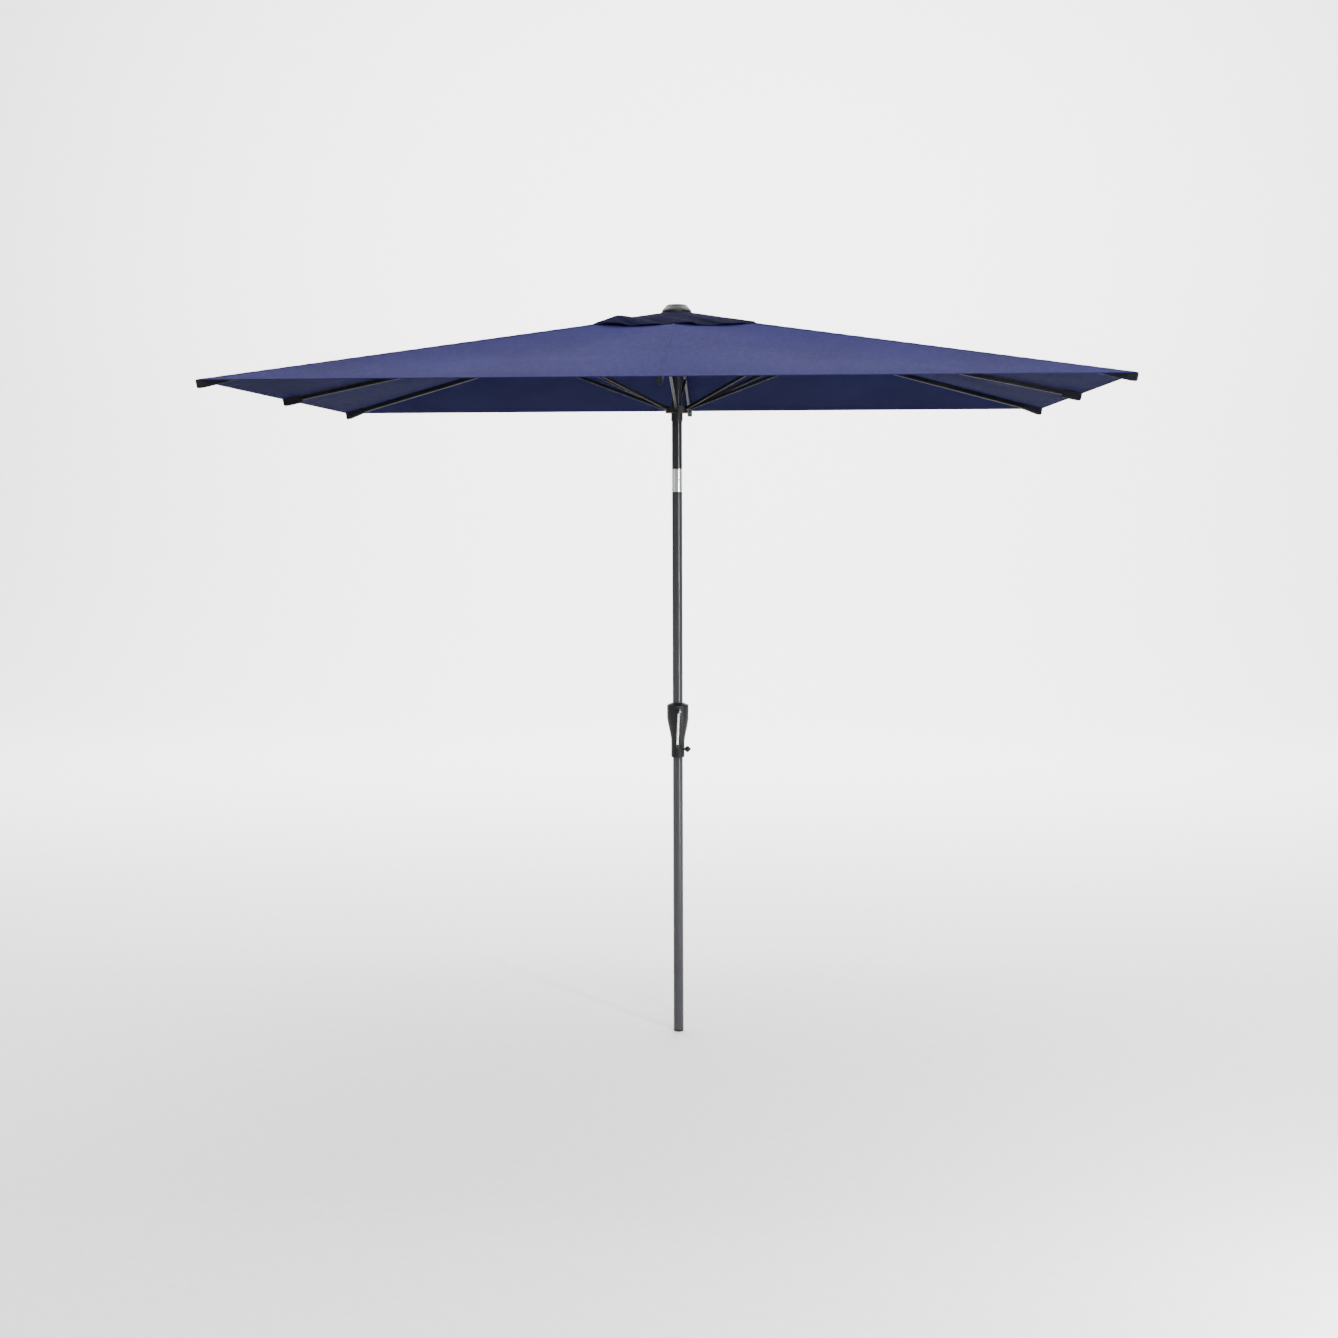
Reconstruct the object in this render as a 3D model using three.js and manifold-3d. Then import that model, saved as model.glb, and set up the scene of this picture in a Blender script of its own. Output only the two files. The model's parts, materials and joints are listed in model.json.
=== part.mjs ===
// Rectangular market umbrella: two-piece pole with a crank housing, a push-button tilt joint,
// eight folding ribs with struts, a pyramid canopy and a vent flap.
// Millimetres, +Z up. The origin is the middle of the pole's foot; +X runs along the canopy's
// long side, and the crank faces -Y.
import * as THREE from 'three';
import { mergeVertices } from 'three/addons/utils/BufferGeometryUtils.js';
import Module from 'manifold-3d';

const wasm = await Module();
wasm.setup();

// Driving dimensions
const CANOPY_LENGTH = 2900;
const CANOPY_WIDTH = 1933;
const RIM_Z = 2354;
const APEX_Z = 2651;
const FABRIC = 2;
const GAP = 0.3;

const POLE_R = 19;
const POLE_WALL = 1.5;
const POLE_BORE_R = POLE_R - POLE_WALL;
const POLE_SIDES = 28;
const POLE_SPLIT_Z = 1085;
const UPPER_POLE_TOP_Z = 2609;

// Ribs and struts
const HUB_PIVOT_R = 46;
const HUB_PIVOT_Z = 2628;
const RUNNER_PIVOT_R = 35;
const RUNNER_PIVOT_Z = 2305;
const RUNNER_TOP_Z = 2318;
const RUNNER_TRAVEL = 787;
const FOLDED_ANGLE = THREE.MathUtils.degToRad(88);
const RIB_W = 10;
const RIB_H = 16;
const STRUT_W = 9;
const STRUT_H = 12;
const TUBE_WALL = 1;
const RIB_CLEARANCE = 1.1;
const LUG_DROP = 15.5;
const LUG_R = 5.5;
const LUG_HALF = 2;
const RIVET_R = 2;
const WIRE_R = 1.5;
const EYE_HOLE_R = 2.2;
const TIP_INSET = 17;
const POCKET_LENGTH = 66;
const CORNER_POCKET_LENGTH = 100;
const POCKET_HEIGHT = 27;
const POCKET_WIDTH = 15;

// Tilt joint
const TILT_Z = 2036;
const KNUCKLE_R = 19.2;
const KNUCKLE_BOTTOM_Z = 2008;
const KNUCKLE_TOP_Z = 2091;
const SPIGOT_R = POLE_BORE_R - GAP;
const SPIGOT_LENGTH = 48;
const TILT_MAX = THREE.MathUtils.degToRad(35);
const FORK_TOP = 15.2;
const TONGUE_HALF = 7;
const TONGUE_R = 12;
const TILT_PIN_R = 4;

// Lift cord
const CORD_R = 1.5;
const CORD_TURN = THREE.MathUtils.degToRad(62);
const CORD_INNER_R = 8;
const CORD_OUTER_R = 22.3;
const PULLEY_Z = 2578;

// Crank, in its own frame turned a little to +X: x across, y into the pole, z up
const CRANK_TURN = THREE.MathUtils.degToRad(12);
const CRANK_Z = 1208;
const HOUSING_R = 40;
const HOUSING_TOP_Z = 1229;
const HOUSING_DOME = 7.5;
const SLEEVE_R = 25;
const SLEEVE_TOP_Z = 1143;
const SLEEVE_BOTTOM_Z = 1034;
const LOWER_SCREW_Z = 1060;
const UPPER_SCREW_Z = 1110;
const SCREW_HOLE_R = 2.4;
const SHAFT_R = 4.5;
const ARM_Y = -50;
const ARM_R = 4;
const KNOB_HINGE = new THREE.Vector3(12.5, ARM_Y, 1070);
const KNOB_R = 12;

const NAVY = { color: 0x2e3450, roughness: 0.85, metalness: 0 };
const BLACK_FABRIC = { color: 0x14151b, roughness: 0.9, metalness: 0 };
const CHARCOAL = { color: 0x3c3d40, roughness: 0.45, metalness: 0.3 };
const CHROME = { color: 0xd8dadc, roughness: 0.08, metalness: 1 };
const STEEL = { color: 0x9a9c9e, roughness: 0.35, metalness: 1 };
const BLACK_PLASTIC = { color: 0x1b1c1e, roughness: 0.5, metalness: 0 };
const WHITE_CORD = { color: 0xe9e7e0, roughness: 0.9, metalness: 0 };

const umbrella = new THREE.Group();
const upright = (x, y, z) => new THREE.Vector3(x, y, z);

// Bare positions with shared corners, no empty triangles, faces pointing out.
function closed(geometry) {
  const bare = geometry.clone();
  bare.deleteAttribute('normal');
  bare.deleteAttribute('uv');
  const merged = mergeVertices(bare, 1e-4);
  const index = merged.index.array;
  const p = merged.attributes.position;
  const corner = [0, 1, 2].map(() => new THREE.Vector3());
  const kept = [];
  let volume = 0;
  for (let i = 0; i < index.length; i += 3) {
    const [a, b, c] = [index[i], index[i + 1], index[i + 2]];
    if (a === b || b === c || c === a) continue;
    corner[0].fromBufferAttribute(p, a);
    corner[1].fromBufferAttribute(p, b);
    corner[2].fromBufferAttribute(p, c);
    volume += corner[0].dot(corner[1].clone().cross(corner[2]));
    kept.push(a, b, c);
  }
  merged.setIndex(volume < 0 ? kept.reverse() : kept);
  return merged;
}

function solid(geometry) {
  const g = closed(geometry);
  const mesh = new wasm.Mesh({
    numProp: 3,
    vertProperties: new Float32Array(g.attributes.position.array),
    triVerts: new Uint32Array(g.index.array),
  });
  return new wasm.Manifold(mesh);
}

function shaped(manifold) {
  const mesh = manifold.getMesh();
  const g = new THREE.BufferGeometry();
  g.setAttribute('position', new THREE.BufferAttribute(mesh.vertProperties, 3));
  g.setIndex(new THREE.BufferAttribute(mesh.triVerts, 1));
  return g;
}

// Joins the geometries in add and cuts away those in cut.
function carved(add, cut = []) {
  let body = solid(add[0]);
  for (const g of add.slice(1)) body = body.add(solid(g));
  for (const g of cut) body = body.subtract(solid(g));
  return shaped(body);
}

function piece(name, geometry, material, parent = umbrella) {
  const mesh = new THREE.Mesh(closed(geometry), new THREE.MeshStandardMaterial(material));
  mesh.name = name;
  parent.add(mesh);
  return mesh;
}

function turnedFrame(angle, parent = umbrella) {
  const group = new THREE.Group();
  group.rotation.z = angle;
  parent.add(group);
  return group;
}

// Turned about Z from a profile of [radius, height] points.
function turned(profile, sides = POLE_SIDES) {
  const points = profile.map(([r, z]) => new THREE.Vector2(r, z));
  return new THREE.LatheGeometry(points, sides).rotateX(Math.PI / 2);
}

// A tube wall or ring between two radii and two heights.
function ring(inner, outer, bottom, top, sides = POLE_SIDES) {
  const profile = [[inner, bottom], [outer, bottom], [outer, top], [inner, top], [inner, bottom]];
  return turned(profile, sides);
}

function disc(radius, bottom, top, sides = POLE_SIDES) {
  return turned([[0, bottom], [radius, bottom], [radius, top], [0, top]], sides);
}

// A straight round bar between two points.
function rod(from, to, radius, sides = 16) {
  const along = to.clone().sub(from);
  const g = new THREE.CylinderGeometry(radius, radius, along.length(), sides);
  const turn = new THREE.Quaternion().setFromUnitVectors(upright(0, 1, 0), along.normalize());
  const middle = from.clone().add(to).multiplyScalar(0.5);
  return g.applyQuaternion(turn).translate(middle.x, middle.y, middle.z);
}

function box(x0, x1, y0, y1, z0, z1) {
  const g = new THREE.BoxGeometry(x1 - x0, y1 - y0, z1 - z0);
  return g.translate((x0 + x1) / 2, (y0 + y1) / 2, (z0 + z1) / 2);
}

// A flat outline in x and z, given thickness to both sides of y = 0.
function plate(shape, half, curveSegments = 5) {
  const g = new THREE.ExtrudeGeometry(shape, { depth: 2 * half, bevelEnabled: false, curveSegments });
  return g.rotateX(Math.PI / 2).translate(0, half, 0);
}

function rounded(width, height, radius) {
  const [w, h] = [width / 2, height / 2];
  const shape = new THREE.Shape();
  shape.moveTo(w - radius, -h);
  shape.absarc(w - radius, radius - h, radius, -Math.PI / 2, 0, false);
  shape.absarc(w - radius, h - radius, radius, 0, Math.PI / 2, false);
  shape.absarc(radius - w, h - radius, radius, Math.PI / 2, Math.PI, false);
  shape.absarc(radius - w, radius - h, radius, Math.PI, 1.5 * Math.PI, false);
  return shape;
}

// A rectangular tube with rounded edges along x, centred on height z.
function squareTube(width, height, x0, x1, z) {
  const section = rounded(width, height, 3);
  section.holes.push(rounded(width - 2 * TUBE_WALL, height - 2 * TUBE_WALL, 2));
  const g = new THREE.ExtrudeGeometry(section, { depth: x1 - x0, bevelEnabled: false, curveSegments: 1 });
  const along = new THREE.Matrix4().makeBasis(upright(0, 1, 0), upright(0, 0, 1), upright(1, 0, 0));
  return g.applyMatrix4(along).translate(x0, 0, z);
}

// A round wire or cord along a curve.
function wire(curve, radius, steps, sides = 8) {
  const section = new THREE.Shape();
  for (let i = 0; i < sides; i += 1) {
    const turn = (2 * Math.PI * i) / sides;
    const [x, y] = [radius * Math.cos(turn), radius * Math.sin(turn)];
    if (i === 0) section.moveTo(x, y);
    else section.lineTo(x, y);
  }
  return new THREE.ExtrudeGeometry(section, { steps, extrudePath: curve, bevelEnabled: false });
}

// A coil spring about y, between two depths.
class Coil extends THREE.Curve {
  constructor(radius, y0, y1, turns) {
    super();
    Object.assign(this, { radius, y0, y1, turns });
  }

  getPoint(t, target = new THREE.Vector3()) {
    const turn = 2 * Math.PI * this.turns * t;
    const y = THREE.MathUtils.lerp(this.y0, this.y1, t);
    return target.set(this.radius * Math.cos(turn), y, this.radius * Math.sin(turn));
  }
}

// A thin shell between rings of points that all have the same number of corners.
function shell(rings, thickness) {
  const n = rings[0].length;
  const low = rings.length * n;
  const positions = [0, -thickness].flatMap(
    (drop) => rings.flatMap((points) => points.flatMap((q) => [q.x, q.y, q.z + drop])));
  const index = [];
  const quad = (a, b, c, d) => index.push(a, b, c, a, c, d);
  for (let i = 0; i < n; i += 1) {
    const j = (i + 1) % n;
    for (let k = 0; k + 1 < rings.length; k += 1) {
      const [a, b, c, d] = [k * n + i, (k + 1) * n + i, (k + 1) * n + j, k * n + j];
      quad(a, b, c, d);
      quad(low + d, low + c, low + b, low + a);
    }
    const last = (rings.length - 1) * n;
    quad(low + i, i, j, low + j);
    quad(last + i, low + last + i, low + last + j, last + j);
  }
  const g = new THREE.BufferGeometry();
  g.setAttribute('position', new THREE.Float32BufferAttribute(positions, 3));
  g.setIndex(index);
  return g;
}

// Rib places, as the directions and reaches of the canopy's corners and side middles
const CORNER_REACH = Math.hypot(CANOPY_LENGTH, CANOPY_WIDTH) / 2;
const CORNER_AZIMUTH = Math.atan2(CANOPY_WIDTH, CANOPY_LENGTH);
const SPOKES = [
  ['right', 0, CANOPY_LENGTH / 2],
  ['back_right', CORNER_AZIMUTH, CORNER_REACH],
  ['back', Math.PI / 2, CANOPY_WIDTH / 2],
  ['back_left', Math.PI - CORNER_AZIMUTH, CORNER_REACH],
  ['left', Math.PI, CANOPY_LENGTH / 2],
  ['front_left', Math.PI + CORNER_AZIMUTH, CORNER_REACH],
  ['front', 1.5 * Math.PI, CANOPY_WIDTH / 2],
  ['front_right', -CORNER_AZIMUTH, CORNER_REACH],
].map(([side, azimuth, reach]) => ({ side, azimuth, reach }));

function canopyRing(share, raise = 0) {
  const z = THREE.MathUtils.lerp(APEX_Z, RIM_Z, share) + raise;
  return SPOKES.map(({ azimuth, reach }) => {
    const r = share * reach;
    return upright(r * Math.cos(azimuth), r * Math.sin(azimuth), z);
  });
}

function roundRing(radius, z) {
  return SPOKES.map(({ azimuth }) => upright(radius * Math.cos(azimuth), radius * Math.sin(azimuth), z));
}

// Where a rib lies, and where its strut is pinned so that all the struts reach the runner
// both when the canopy is open and when it is folded.
function ribLayout(reach) {
  const slope = Math.atan((APEX_Z - RIM_Z) / reach);
  const below = FABRIC / Math.cos(slope) + RIB_CLEARANCE + RIB_H / 2;
  const centre = (APEX_Z - HUB_PIVOT_Z) * Math.cos(slope) - HUB_PIVOT_R * Math.sin(slope) - below;
  const length = (reach - HUB_PIVOT_R) / Math.cos(slope) - TIP_INSET;
  const lug = (a, angle) => {
    const drop = centre - LUG_DROP;
    const r = HUB_PIVOT_R + a * Math.cos(angle) + drop * Math.sin(angle);
    const z = HUB_PIVOT_Z - a * Math.sin(angle) + drop * Math.cos(angle);
    return new THREE.Vector2(r, z);
  };
  const runner = new THREE.Vector2(RUNNER_PIVOT_R, RUNNER_PIVOT_Z);
  const folded = (a) => {
    const strut = lug(a, slope).distanceTo(runner);
    const low = lug(a, FOLDED_ANGLE);
    return low.y - Math.sqrt(strut ** 2 - (low.x - RUNNER_PIVOT_R) ** 2);
  };
  let [near, far] = [400, 700];
  for (let i = 0; i < 50; i += 1) {
    const middle = (near + far) / 2;
    if (folded(middle) > RUNNER_PIVOT_Z - RUNNER_TRAVEL) near = middle;
    else far = middle;
  }
  const open = lug(near, slope);
  const strut = open.distanceTo(runner);
  const strutAngle = Math.atan2(RUNNER_PIVOT_Z - open.y, RUNNER_PIVOT_R - open.x);
  return { slope, centre, length, lug: near, strut, strutAngle };
}

// Pole
function makePoles() {
  const plug = [
    [0, 0], [15, 0], [18, 1.5], [POLE_R, 4], [POLE_R, 6], [SPIGOT_R, 6], [SPIGOT_R, 28], [0, 28],
  ];
  piece('foot_plug', turned(plug), BLACK_PLASTIC);
  const back = (z) => rod(upright(0, 0, z), upright(0, 30, z), SCREW_HOLE_R);
  const frame = turnedFrame(CRANK_TURN);
  const lower = carved([ring(POLE_BORE_R, POLE_R, 6 + GAP, POLE_SPLIT_Z)], [back(LOWER_SCREW_Z)]);
  piece('lower_pole', lower, CHARCOAL, frame);
  const shaftHole = rod(upright(0, -30, CRANK_Z), upright(0, 30, CRANK_Z), SHAFT_R + GAP);
  const middle = ring(POLE_BORE_R, POLE_R, POLE_SPLIT_Z + GAP, KNUCKLE_BOTTOM_Z - GAP);
  piece('middle_pole', carved([middle], [shaftHole, back(UPPER_SCREW_Z)]), CHARCOAL, frame);
  const top = turnedFrame(CORD_TURN);
  const upper = ring(POLE_BORE_R, POLE_R, KNUCKLE_TOP_Z + GAP, UPPER_POLE_TOP_Z);
  const pulleySlot = box(0, 30, -4.3, 4.3, PULLEY_Z - 19, 2620);
  const pinX = (CORD_OUTER_R - CORD_INNER_R) / 2;
  const pinHole = rod(upright(pinX, -30, PULLEY_Z), upright(pinX, 30, PULLEY_Z), 2.3);
  piece('upper_pole', carved([upper], [pulleySlot, pinHole]), CHARCOAL, top);
}

// Tilt joint: a forked lower knuckle, an upper knuckle with a tongue, a cross pin and a button
function makeTiltJoint() {
  const cordX = -CORD_INNER_R * Math.cos(CORD_TURN);
  const cordY = -CORD_INNER_R * Math.sin(CORD_TURN);
  const cordHole = rod(upright(cordX, cordY, 1900), upright(cordX, cordY, 2200), CORD_R + 0.6, 10);
  const pinHole = rod(upright(-30, 0, TILT_Z), upright(30, 0, TILT_Z), TILT_PIN_R + GAP);

  // The fork stops short of the upper knuckle at every tilt: flat, then round, then sloped.
  const reach = 40;
  const outline = new THREE.Shape();
  outline.moveTo(-reach, KNUCKLE_BOTTOM_Z - TILT_Z);
  outline.lineTo(-reach, FORK_TOP);
  outline.lineTo(0, FORK_TOP);
  outline.absarc(0, 0, FORK_TOP, Math.PI / 2, Math.PI / 2 - TILT_MAX, true);
  outline.lineTo(
    FORK_TOP * Math.sin(TILT_MAX) + reach * Math.cos(TILT_MAX),
    FORK_TOP * Math.cos(TILT_MAX) - reach * Math.sin(TILT_MAX),
  );
  outline.lineTo(reach, KNUCKLE_BOTTOM_Z - TILT_Z);
  const profile = plate(outline, KNUCKLE_R + 1, 8).rotateZ(Math.PI / 2).translate(0, 0, TILT_Z);
  const fork = solid(disc(KNUCKLE_R, KNUCKLE_BOTTOM_Z, TILT_Z + 20)).intersect(solid(profile));
  const buttonZ = 2016;
  const slotFront = -(TONGUE_R + 0.6);
  const lower = fork
    .add(solid(disc(SPIGOT_R, KNUCKLE_BOTTOM_Z - SPIGOT_LENGTH, KNUCKLE_BOTTOM_Z + 1)))
    .subtract(solid(box(-7.3, 7.3, slotFront, 30, TILT_Z - TONGUE_R - 0.6, TILT_Z + 30)))
    .subtract(solid(rod(upright(-30, 0, buttonZ), upright(-6.6, 0, buttonZ), 4.8)))
    .subtract(solid(pinHole))
    .subtract(solid(cordHole));
  piece('tilt_lower_knuckle', shaped(lower), CHROME);

  const neck = box(-TONGUE_HALF, TONGUE_HALF, -TONGUE_R, TONGUE_R, TILT_Z, TILT_Z + 20);
  const tongue = rod(upright(-TONGUE_HALF, 0, TILT_Z), upright(TONGUE_HALF, 0, TILT_Z), TONGUE_R, 24);
  const collarBottom = TILT_Z + FORK_TOP + GAP;
  const collar = disc(KNUCKLE_R, collarBottom, KNUCKLE_TOP_Z);
  const spigot = disc(SPIGOT_R, KNUCKLE_TOP_Z - 1, KNUCKLE_TOP_Z + SPIGOT_LENGTH);
  // A fan below the pin, so that the cord stays clear of the tongue at every tilt.
  const cordFan = [1, 2, 3, 4, 5, 6, 7].map((k) => {
    const fan = rod(upright(cordX, cordY, 0), upright(cordX, cordY, -TONGUE_R - 6), CORD_R + 0.6, 10);
    return fan.rotateX((TILT_MAX * k) / 7).translate(0, 0, TILT_Z);
  });
  const upper = carved([collar, spigot, neck, tongue], [pinHole, cordHole, ...cordFan]);
  piece('tilt_upper_knuckle', upper, CHROME);

  const pinEnd = KNUCKLE_R - 0.5;
  piece('tilt_pin', rod(upright(-pinEnd, 0, TILT_Z), upright(pinEnd, 0, TILT_Z), TILT_PIN_R), STEEL);

  const button = turned([[0, 0], [4.5, 0], [4.5, 6.4], [3.4, 7], [0, 7.1]], 20);
  const cap = piece('tilt_button', button.rotateY(-Math.PI / 2), BLACK_PLASTIC);
  cap.position.set(-12.6, 0, buttonZ);
  const spring = wire(new Coil(3, 0.5, 3.2, 3), 0.4, 27, 5).rotateZ(Math.PI / 2);
  const springMesh = piece('button_spring', spring, STEEL);
  springMesh.position.set(-6.9, 0, buttonZ);
}

// Crank housing, shaft, spool, arm and knob
function makeCrank() {
  const frame = turnedFrame(CRANK_TURN);
  const bore = POLE_R + GAP;
  const wall = 3;
  const profile = [
    [bore, SLEEVE_BOTTOM_Z], [SLEEVE_R - 1.5, SLEEVE_BOTTOM_Z], [SLEEVE_R, SLEEVE_BOTTOM_Z + 2],
    [SLEEVE_R, 1126], [31, SLEEVE_TOP_Z + 5], [HOUSING_R, 1188], [HOUSING_R, HOUSING_TOP_Z - 1.5],
    [HOUSING_R - 1.5, HOUSING_TOP_Z], [bore + 3, HOUSING_TOP_Z + HOUSING_DOME],
    [bore, HOUSING_TOP_Z + HOUSING_DOME], [bore, HOUSING_TOP_Z + HOUSING_DOME - wall],
    [HOUSING_R - wall, HOUSING_TOP_Z - wall], [HOUSING_R - wall, 1189.5],
    [31 - wall, SLEEVE_TOP_Z + 7], [bore, 1134], [bore, SLEEVE_BOTTOM_Z],
  ];
  const shaftHole = rod(upright(0, -60, CRANK_Z), upright(0, -10, CRANK_Z), SHAFT_R + GAP);
  const boss = rod(upright(0, -43, CRANK_Z), upright(0, -36, CRANK_Z), 9, 20);
  const front = solid(turned(profile, 40))
    .add(solid(boss))
    .subtract(solid(box(-60, 60, -GAP / 2, 60, 1000, 1300)))
    .subtract(solid(shaftHole));
  piece('crank_housing_front', shaped(front), BLACK_PLASTIC, frame);
  const screwHole = (z) => rod(upright(0, 10, z), upright(0, 60, z), SCREW_HOLE_R);
  const rear = solid(turned(profile, 40))
    .subtract(solid(box(-60, 60, -60, GAP / 2, 1000, 1300)))
    .subtract(solid(screwHole(LOWER_SCREW_Z)))
    .subtract(solid(screwHole(UPPER_SCREW_Z)));
  piece('crank_housing_rear', shaped(rear), BLACK_PLASTIC, frame);

  [['lower_pole_screw', LOWER_SCREW_Z], ['middle_pole_screw', UPPER_SCREW_Z]].forEach(([name, z]) => {
    const screw = turned([[0, -12], [2, -12], [2, 0], [5, 0], [5, 1.2], [3.4, 2.6], [0, 2.6]], 16);
    const mesh = piece(name, screw.rotateX(-Math.PI / 2), STEEL, frame);
    mesh.position.set(0, SLEEVE_R + GAP, z);
  });

  const flange = 13.5;
  const barrel = 8.9;
  const spool = [
    [SHAFT_R + GAP, -10], [flange, -10], [flange, -8.5], [barrel, -7.5], [barrel, 7.5],
    [flange, 8.5], [flange, 10], [SHAFT_R + GAP, 10], [SHAFT_R + GAP, -10],
  ];
  const spoolMesh = piece('cord_spool', turned(spool, 28).rotateX(Math.PI / 2), BLACK_PLASTIC, frame);
  spoolMesh.position.z = CRANK_Z;
  const shaft = rod(upright(0, ARM_Y + ARM_R + 1.3, CRANK_Z), upright(0, 24, CRANK_Z), SHAFT_R);
  piece('crank_shaft', shaft, STEEL, frame);
  const brake = wire(new Coil(7, -34, -21, 4), 1, 40, 5);
  piece('brake_spring', brake, STEEL, frame).position.z = CRANK_Z;

  const bends = [
    upright(0, ARM_Y, CRANK_Z - 1), upright(-5, ARM_Y, 1194),
    upright(-9, ARM_Y, 1088), upright(KNOB_HINGE.x - 4, ARM_Y, KNOB_HINGE.z + 1),
  ];
  const curve = new THREE.CatmullRomCurve3(bends, false, 'catmullrom', 0.08);
  const hub = rod(upright(0, ARM_Y - 5, CRANK_Z), upright(0, ARM_Y + 5, CRANK_Z), 7, 20);
  const [inner, outer] = [3.5, 6.5];
  const hingeAt = (rise) => KNOB_HINGE.clone().setZ(KNOB_HINGE.z + rise);
  const bracket = (x0, x1, low, high) => box(
    KNOB_HINGE.x + x0, KNOB_HINGE.x + x1, ARM_Y - 4, ARM_Y + 4, KNOB_HINGE.z + low, KNOB_HINGE.z + high);
  const eyeTop = rod(hingeAt(inner), hingeAt(outer), 5);
  const eyeLow = rod(hingeAt(-outer), hingeAt(-inner), 5);
  const yoke = bracket(-9, -5.6, -outer, outer);
  const yokeTop = bracket(-8, 0, inner, outer);
  const yokeLow = bracket(-8, 0, -outer, -inner);
  const barrelCut = rod(hingeAt(-inner), hingeAt(inner), 5.4, 20);
  const arm = carved([wire(curve, ARM_R, 26, 8), hub, yoke, yokeTop, eyeTop, yokeLow, eyeLow], [barrelCut]);
  piece('crank_arm', arm, CHROME, frame);

  const knobTurn = new THREE.Group();
  knobTurn.position.copy(KNOB_HINGE);
  frame.add(knobTurn);
  const knuckle = rod(upright(0, 0, -3.1), upright(0, 0, 3.1), 5, 20);
  const stem = rod(upright(3, 0, 0), upright(24, 0, 0), 2.2, 12);
  const stop = rod(upright(26, 0, 0), upright(27.4, 0, 0), 4.4, 12);
  const stemEnd = rod(upright(20, 0, 0), upright(27, 0, 0), 2.2, 12);
  piece('knob_stem', carved([knuckle, stem, stemEnd, stop]), STEEL, knobTurn);
  const ball = [[2.5, 5.6], [5.5, 5.6], [9, 7], [11.2, 10], [KNOB_R, 14], [11.4, 18.6], [9, 22.5], [6, 24.5],
    [4.8, 25.2], [4.8, 25.7], [2.5, 25.7], [2.5, 5.6]];
  piece('knob_grip', turned(ball, 24).rotateY(Math.PI / 2), BLACK_PLASTIC, knobTurn);
}

// Hub, pulley, finial
function makeHead() {
  const slotInner = 34.5;
  const hubProfile = [
    [6.3, 2609.3], [19.3, 2609.3], [19.3, 2597], [33, 2597], [33, 2618],
    [54, 2618], [56, 2620], [56, 2645.5], [54.5, 2647], [6.3, 2647], [6.3, 2609.3],
  ];
  let hub = solid(turned(hubProfile, 32));
  SPOKES.forEach(({ azimuth }) => {
    const slot = box(slotInner, 70, -RIB_W / 2 - GAP, RIB_W / 2 + GAP, 2610, 2643.4);
    hub = hub.subtract(solid(slot.rotateZ(azimuth)));
  });
  const groove = ring(HUB_PIVOT_R - 2, HUB_PIVOT_R + 2, HUB_PIVOT_Z - 2, HUB_PIVOT_Z + 2, 32);
  piece('top_hub', shaped(hub.subtract(solid(groove))), BLACK_PLASTIC);
  const bead = new THREE.TorusGeometry(HUB_PIVOT_R, WIRE_R, 6, 48);
  piece('hub_ring', bead, STEEL).position.z = HUB_PIVOT_Z;

  const top = turnedFrame(CORD_TURN);
  const pulleyX = (CORD_OUTER_R - CORD_INNER_R) / 2;
  const grooveR = (CORD_OUTER_R + CORD_INNER_R) / 2 - CORD_R - 2 * GAP;
  const rim = grooveR + 2.2;
  const wheel = [
    [2.3, -3.6], [rim, -3.6], [rim, -2.8], [grooveR, -2], [grooveR, 2],
    [rim, 2.8], [rim, 3.6], [2.3, 3.6], [2.3, -3.6],
  ];
  const pulley = piece('lift_pulley', turned(wheel, 28).rotateX(Math.PI / 2), BLACK_PLASTIC, top);
  pulley.position.set(pulleyX, 0, PULLEY_Z);
  const pinEnd = 16.8;
  const pin = rod(upright(pulleyX, -pinEnd, PULLEY_Z), upright(pulleyX, pinEnd, PULLEY_Z), 2);
  piece('pulley_pin', pin, STEEL, top);

  const seat = ring(9, 55, 2649.6, 2652, 40);
  piece('finial_seat', seat, BLACK_PLASTIC);
  const dome = [
    [0, 2616], [6, 2616], [6, 2652.3], [53, 2652.3], [54, 2654.5], [52, 2659.5], [47, 2665.5],
    [41, 2671], [35, 2675], [24, 2678.2], [12, 2679.6], [0, 2680],
  ];
  piece('finial', turned(dome, 32), BLACK_PLASTIC);
}

// Lift cord: spool to tilt joint, tilt joint over the pulley, and the outer run to the runner
function makeCord() {
  const out = upright(Math.cos(CORD_TURN), Math.sin(CORD_TURN), 0);
  const inner = (z) => out.clone().multiplyScalar(-CORD_INNER_R).setZ(z);
  const side = 10.8;
  const leave = upright(side * Math.cos(CRANK_TURN), side * Math.sin(CRANK_TURN), CRANK_Z);
  const rise = leave.clone().lerp(inner(1940), 0.5);
  rise.z = 1560;
  const lower = new THREE.CatmullRomCurve3([
    leave, leave.clone().setZ(1240), rise, inner(1940), inner(1985), inner(TILT_Z - GAP / 2)]);
  piece('lift_cord_lower', wire(lower, CORD_R, 18, 6), WHITE_CORD);

  const centre = (CORD_OUTER_R - CORD_INNER_R) / 2;
  const bend = (CORD_OUTER_R + CORD_INNER_R) / 2;
  const overPulley = (i) => {
    const turn = Math.PI * (1 - i / 12);
    const spot = out.clone().multiplyScalar(centre + bend * Math.cos(turn));
    return spot.setZ(PULLEY_Z + bend * Math.sin(turn));
  };
  const wrap = new THREE.CatmullRomCurve3(Array.from({ length: 13 }, (_, i) => overPulley(i)));
  const climb = rod(inner(TILT_Z + GAP / 2), inner(PULLEY_Z + 0.5), CORD_R, 8);
  piece('lift_cord_upper', carved([climb, wire(wrap, CORD_R, 16)]), WHITE_CORD);

  const outer = (z) => out.clone().multiplyScalar(CORD_OUTER_R).setZ(z);
  piece('lift_cord_run', rod(outer(RUNNER_TOP_Z + GAP), outer(PULLEY_Z - GAP), CORD_R, 10), WHITE_CORD);
}

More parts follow.
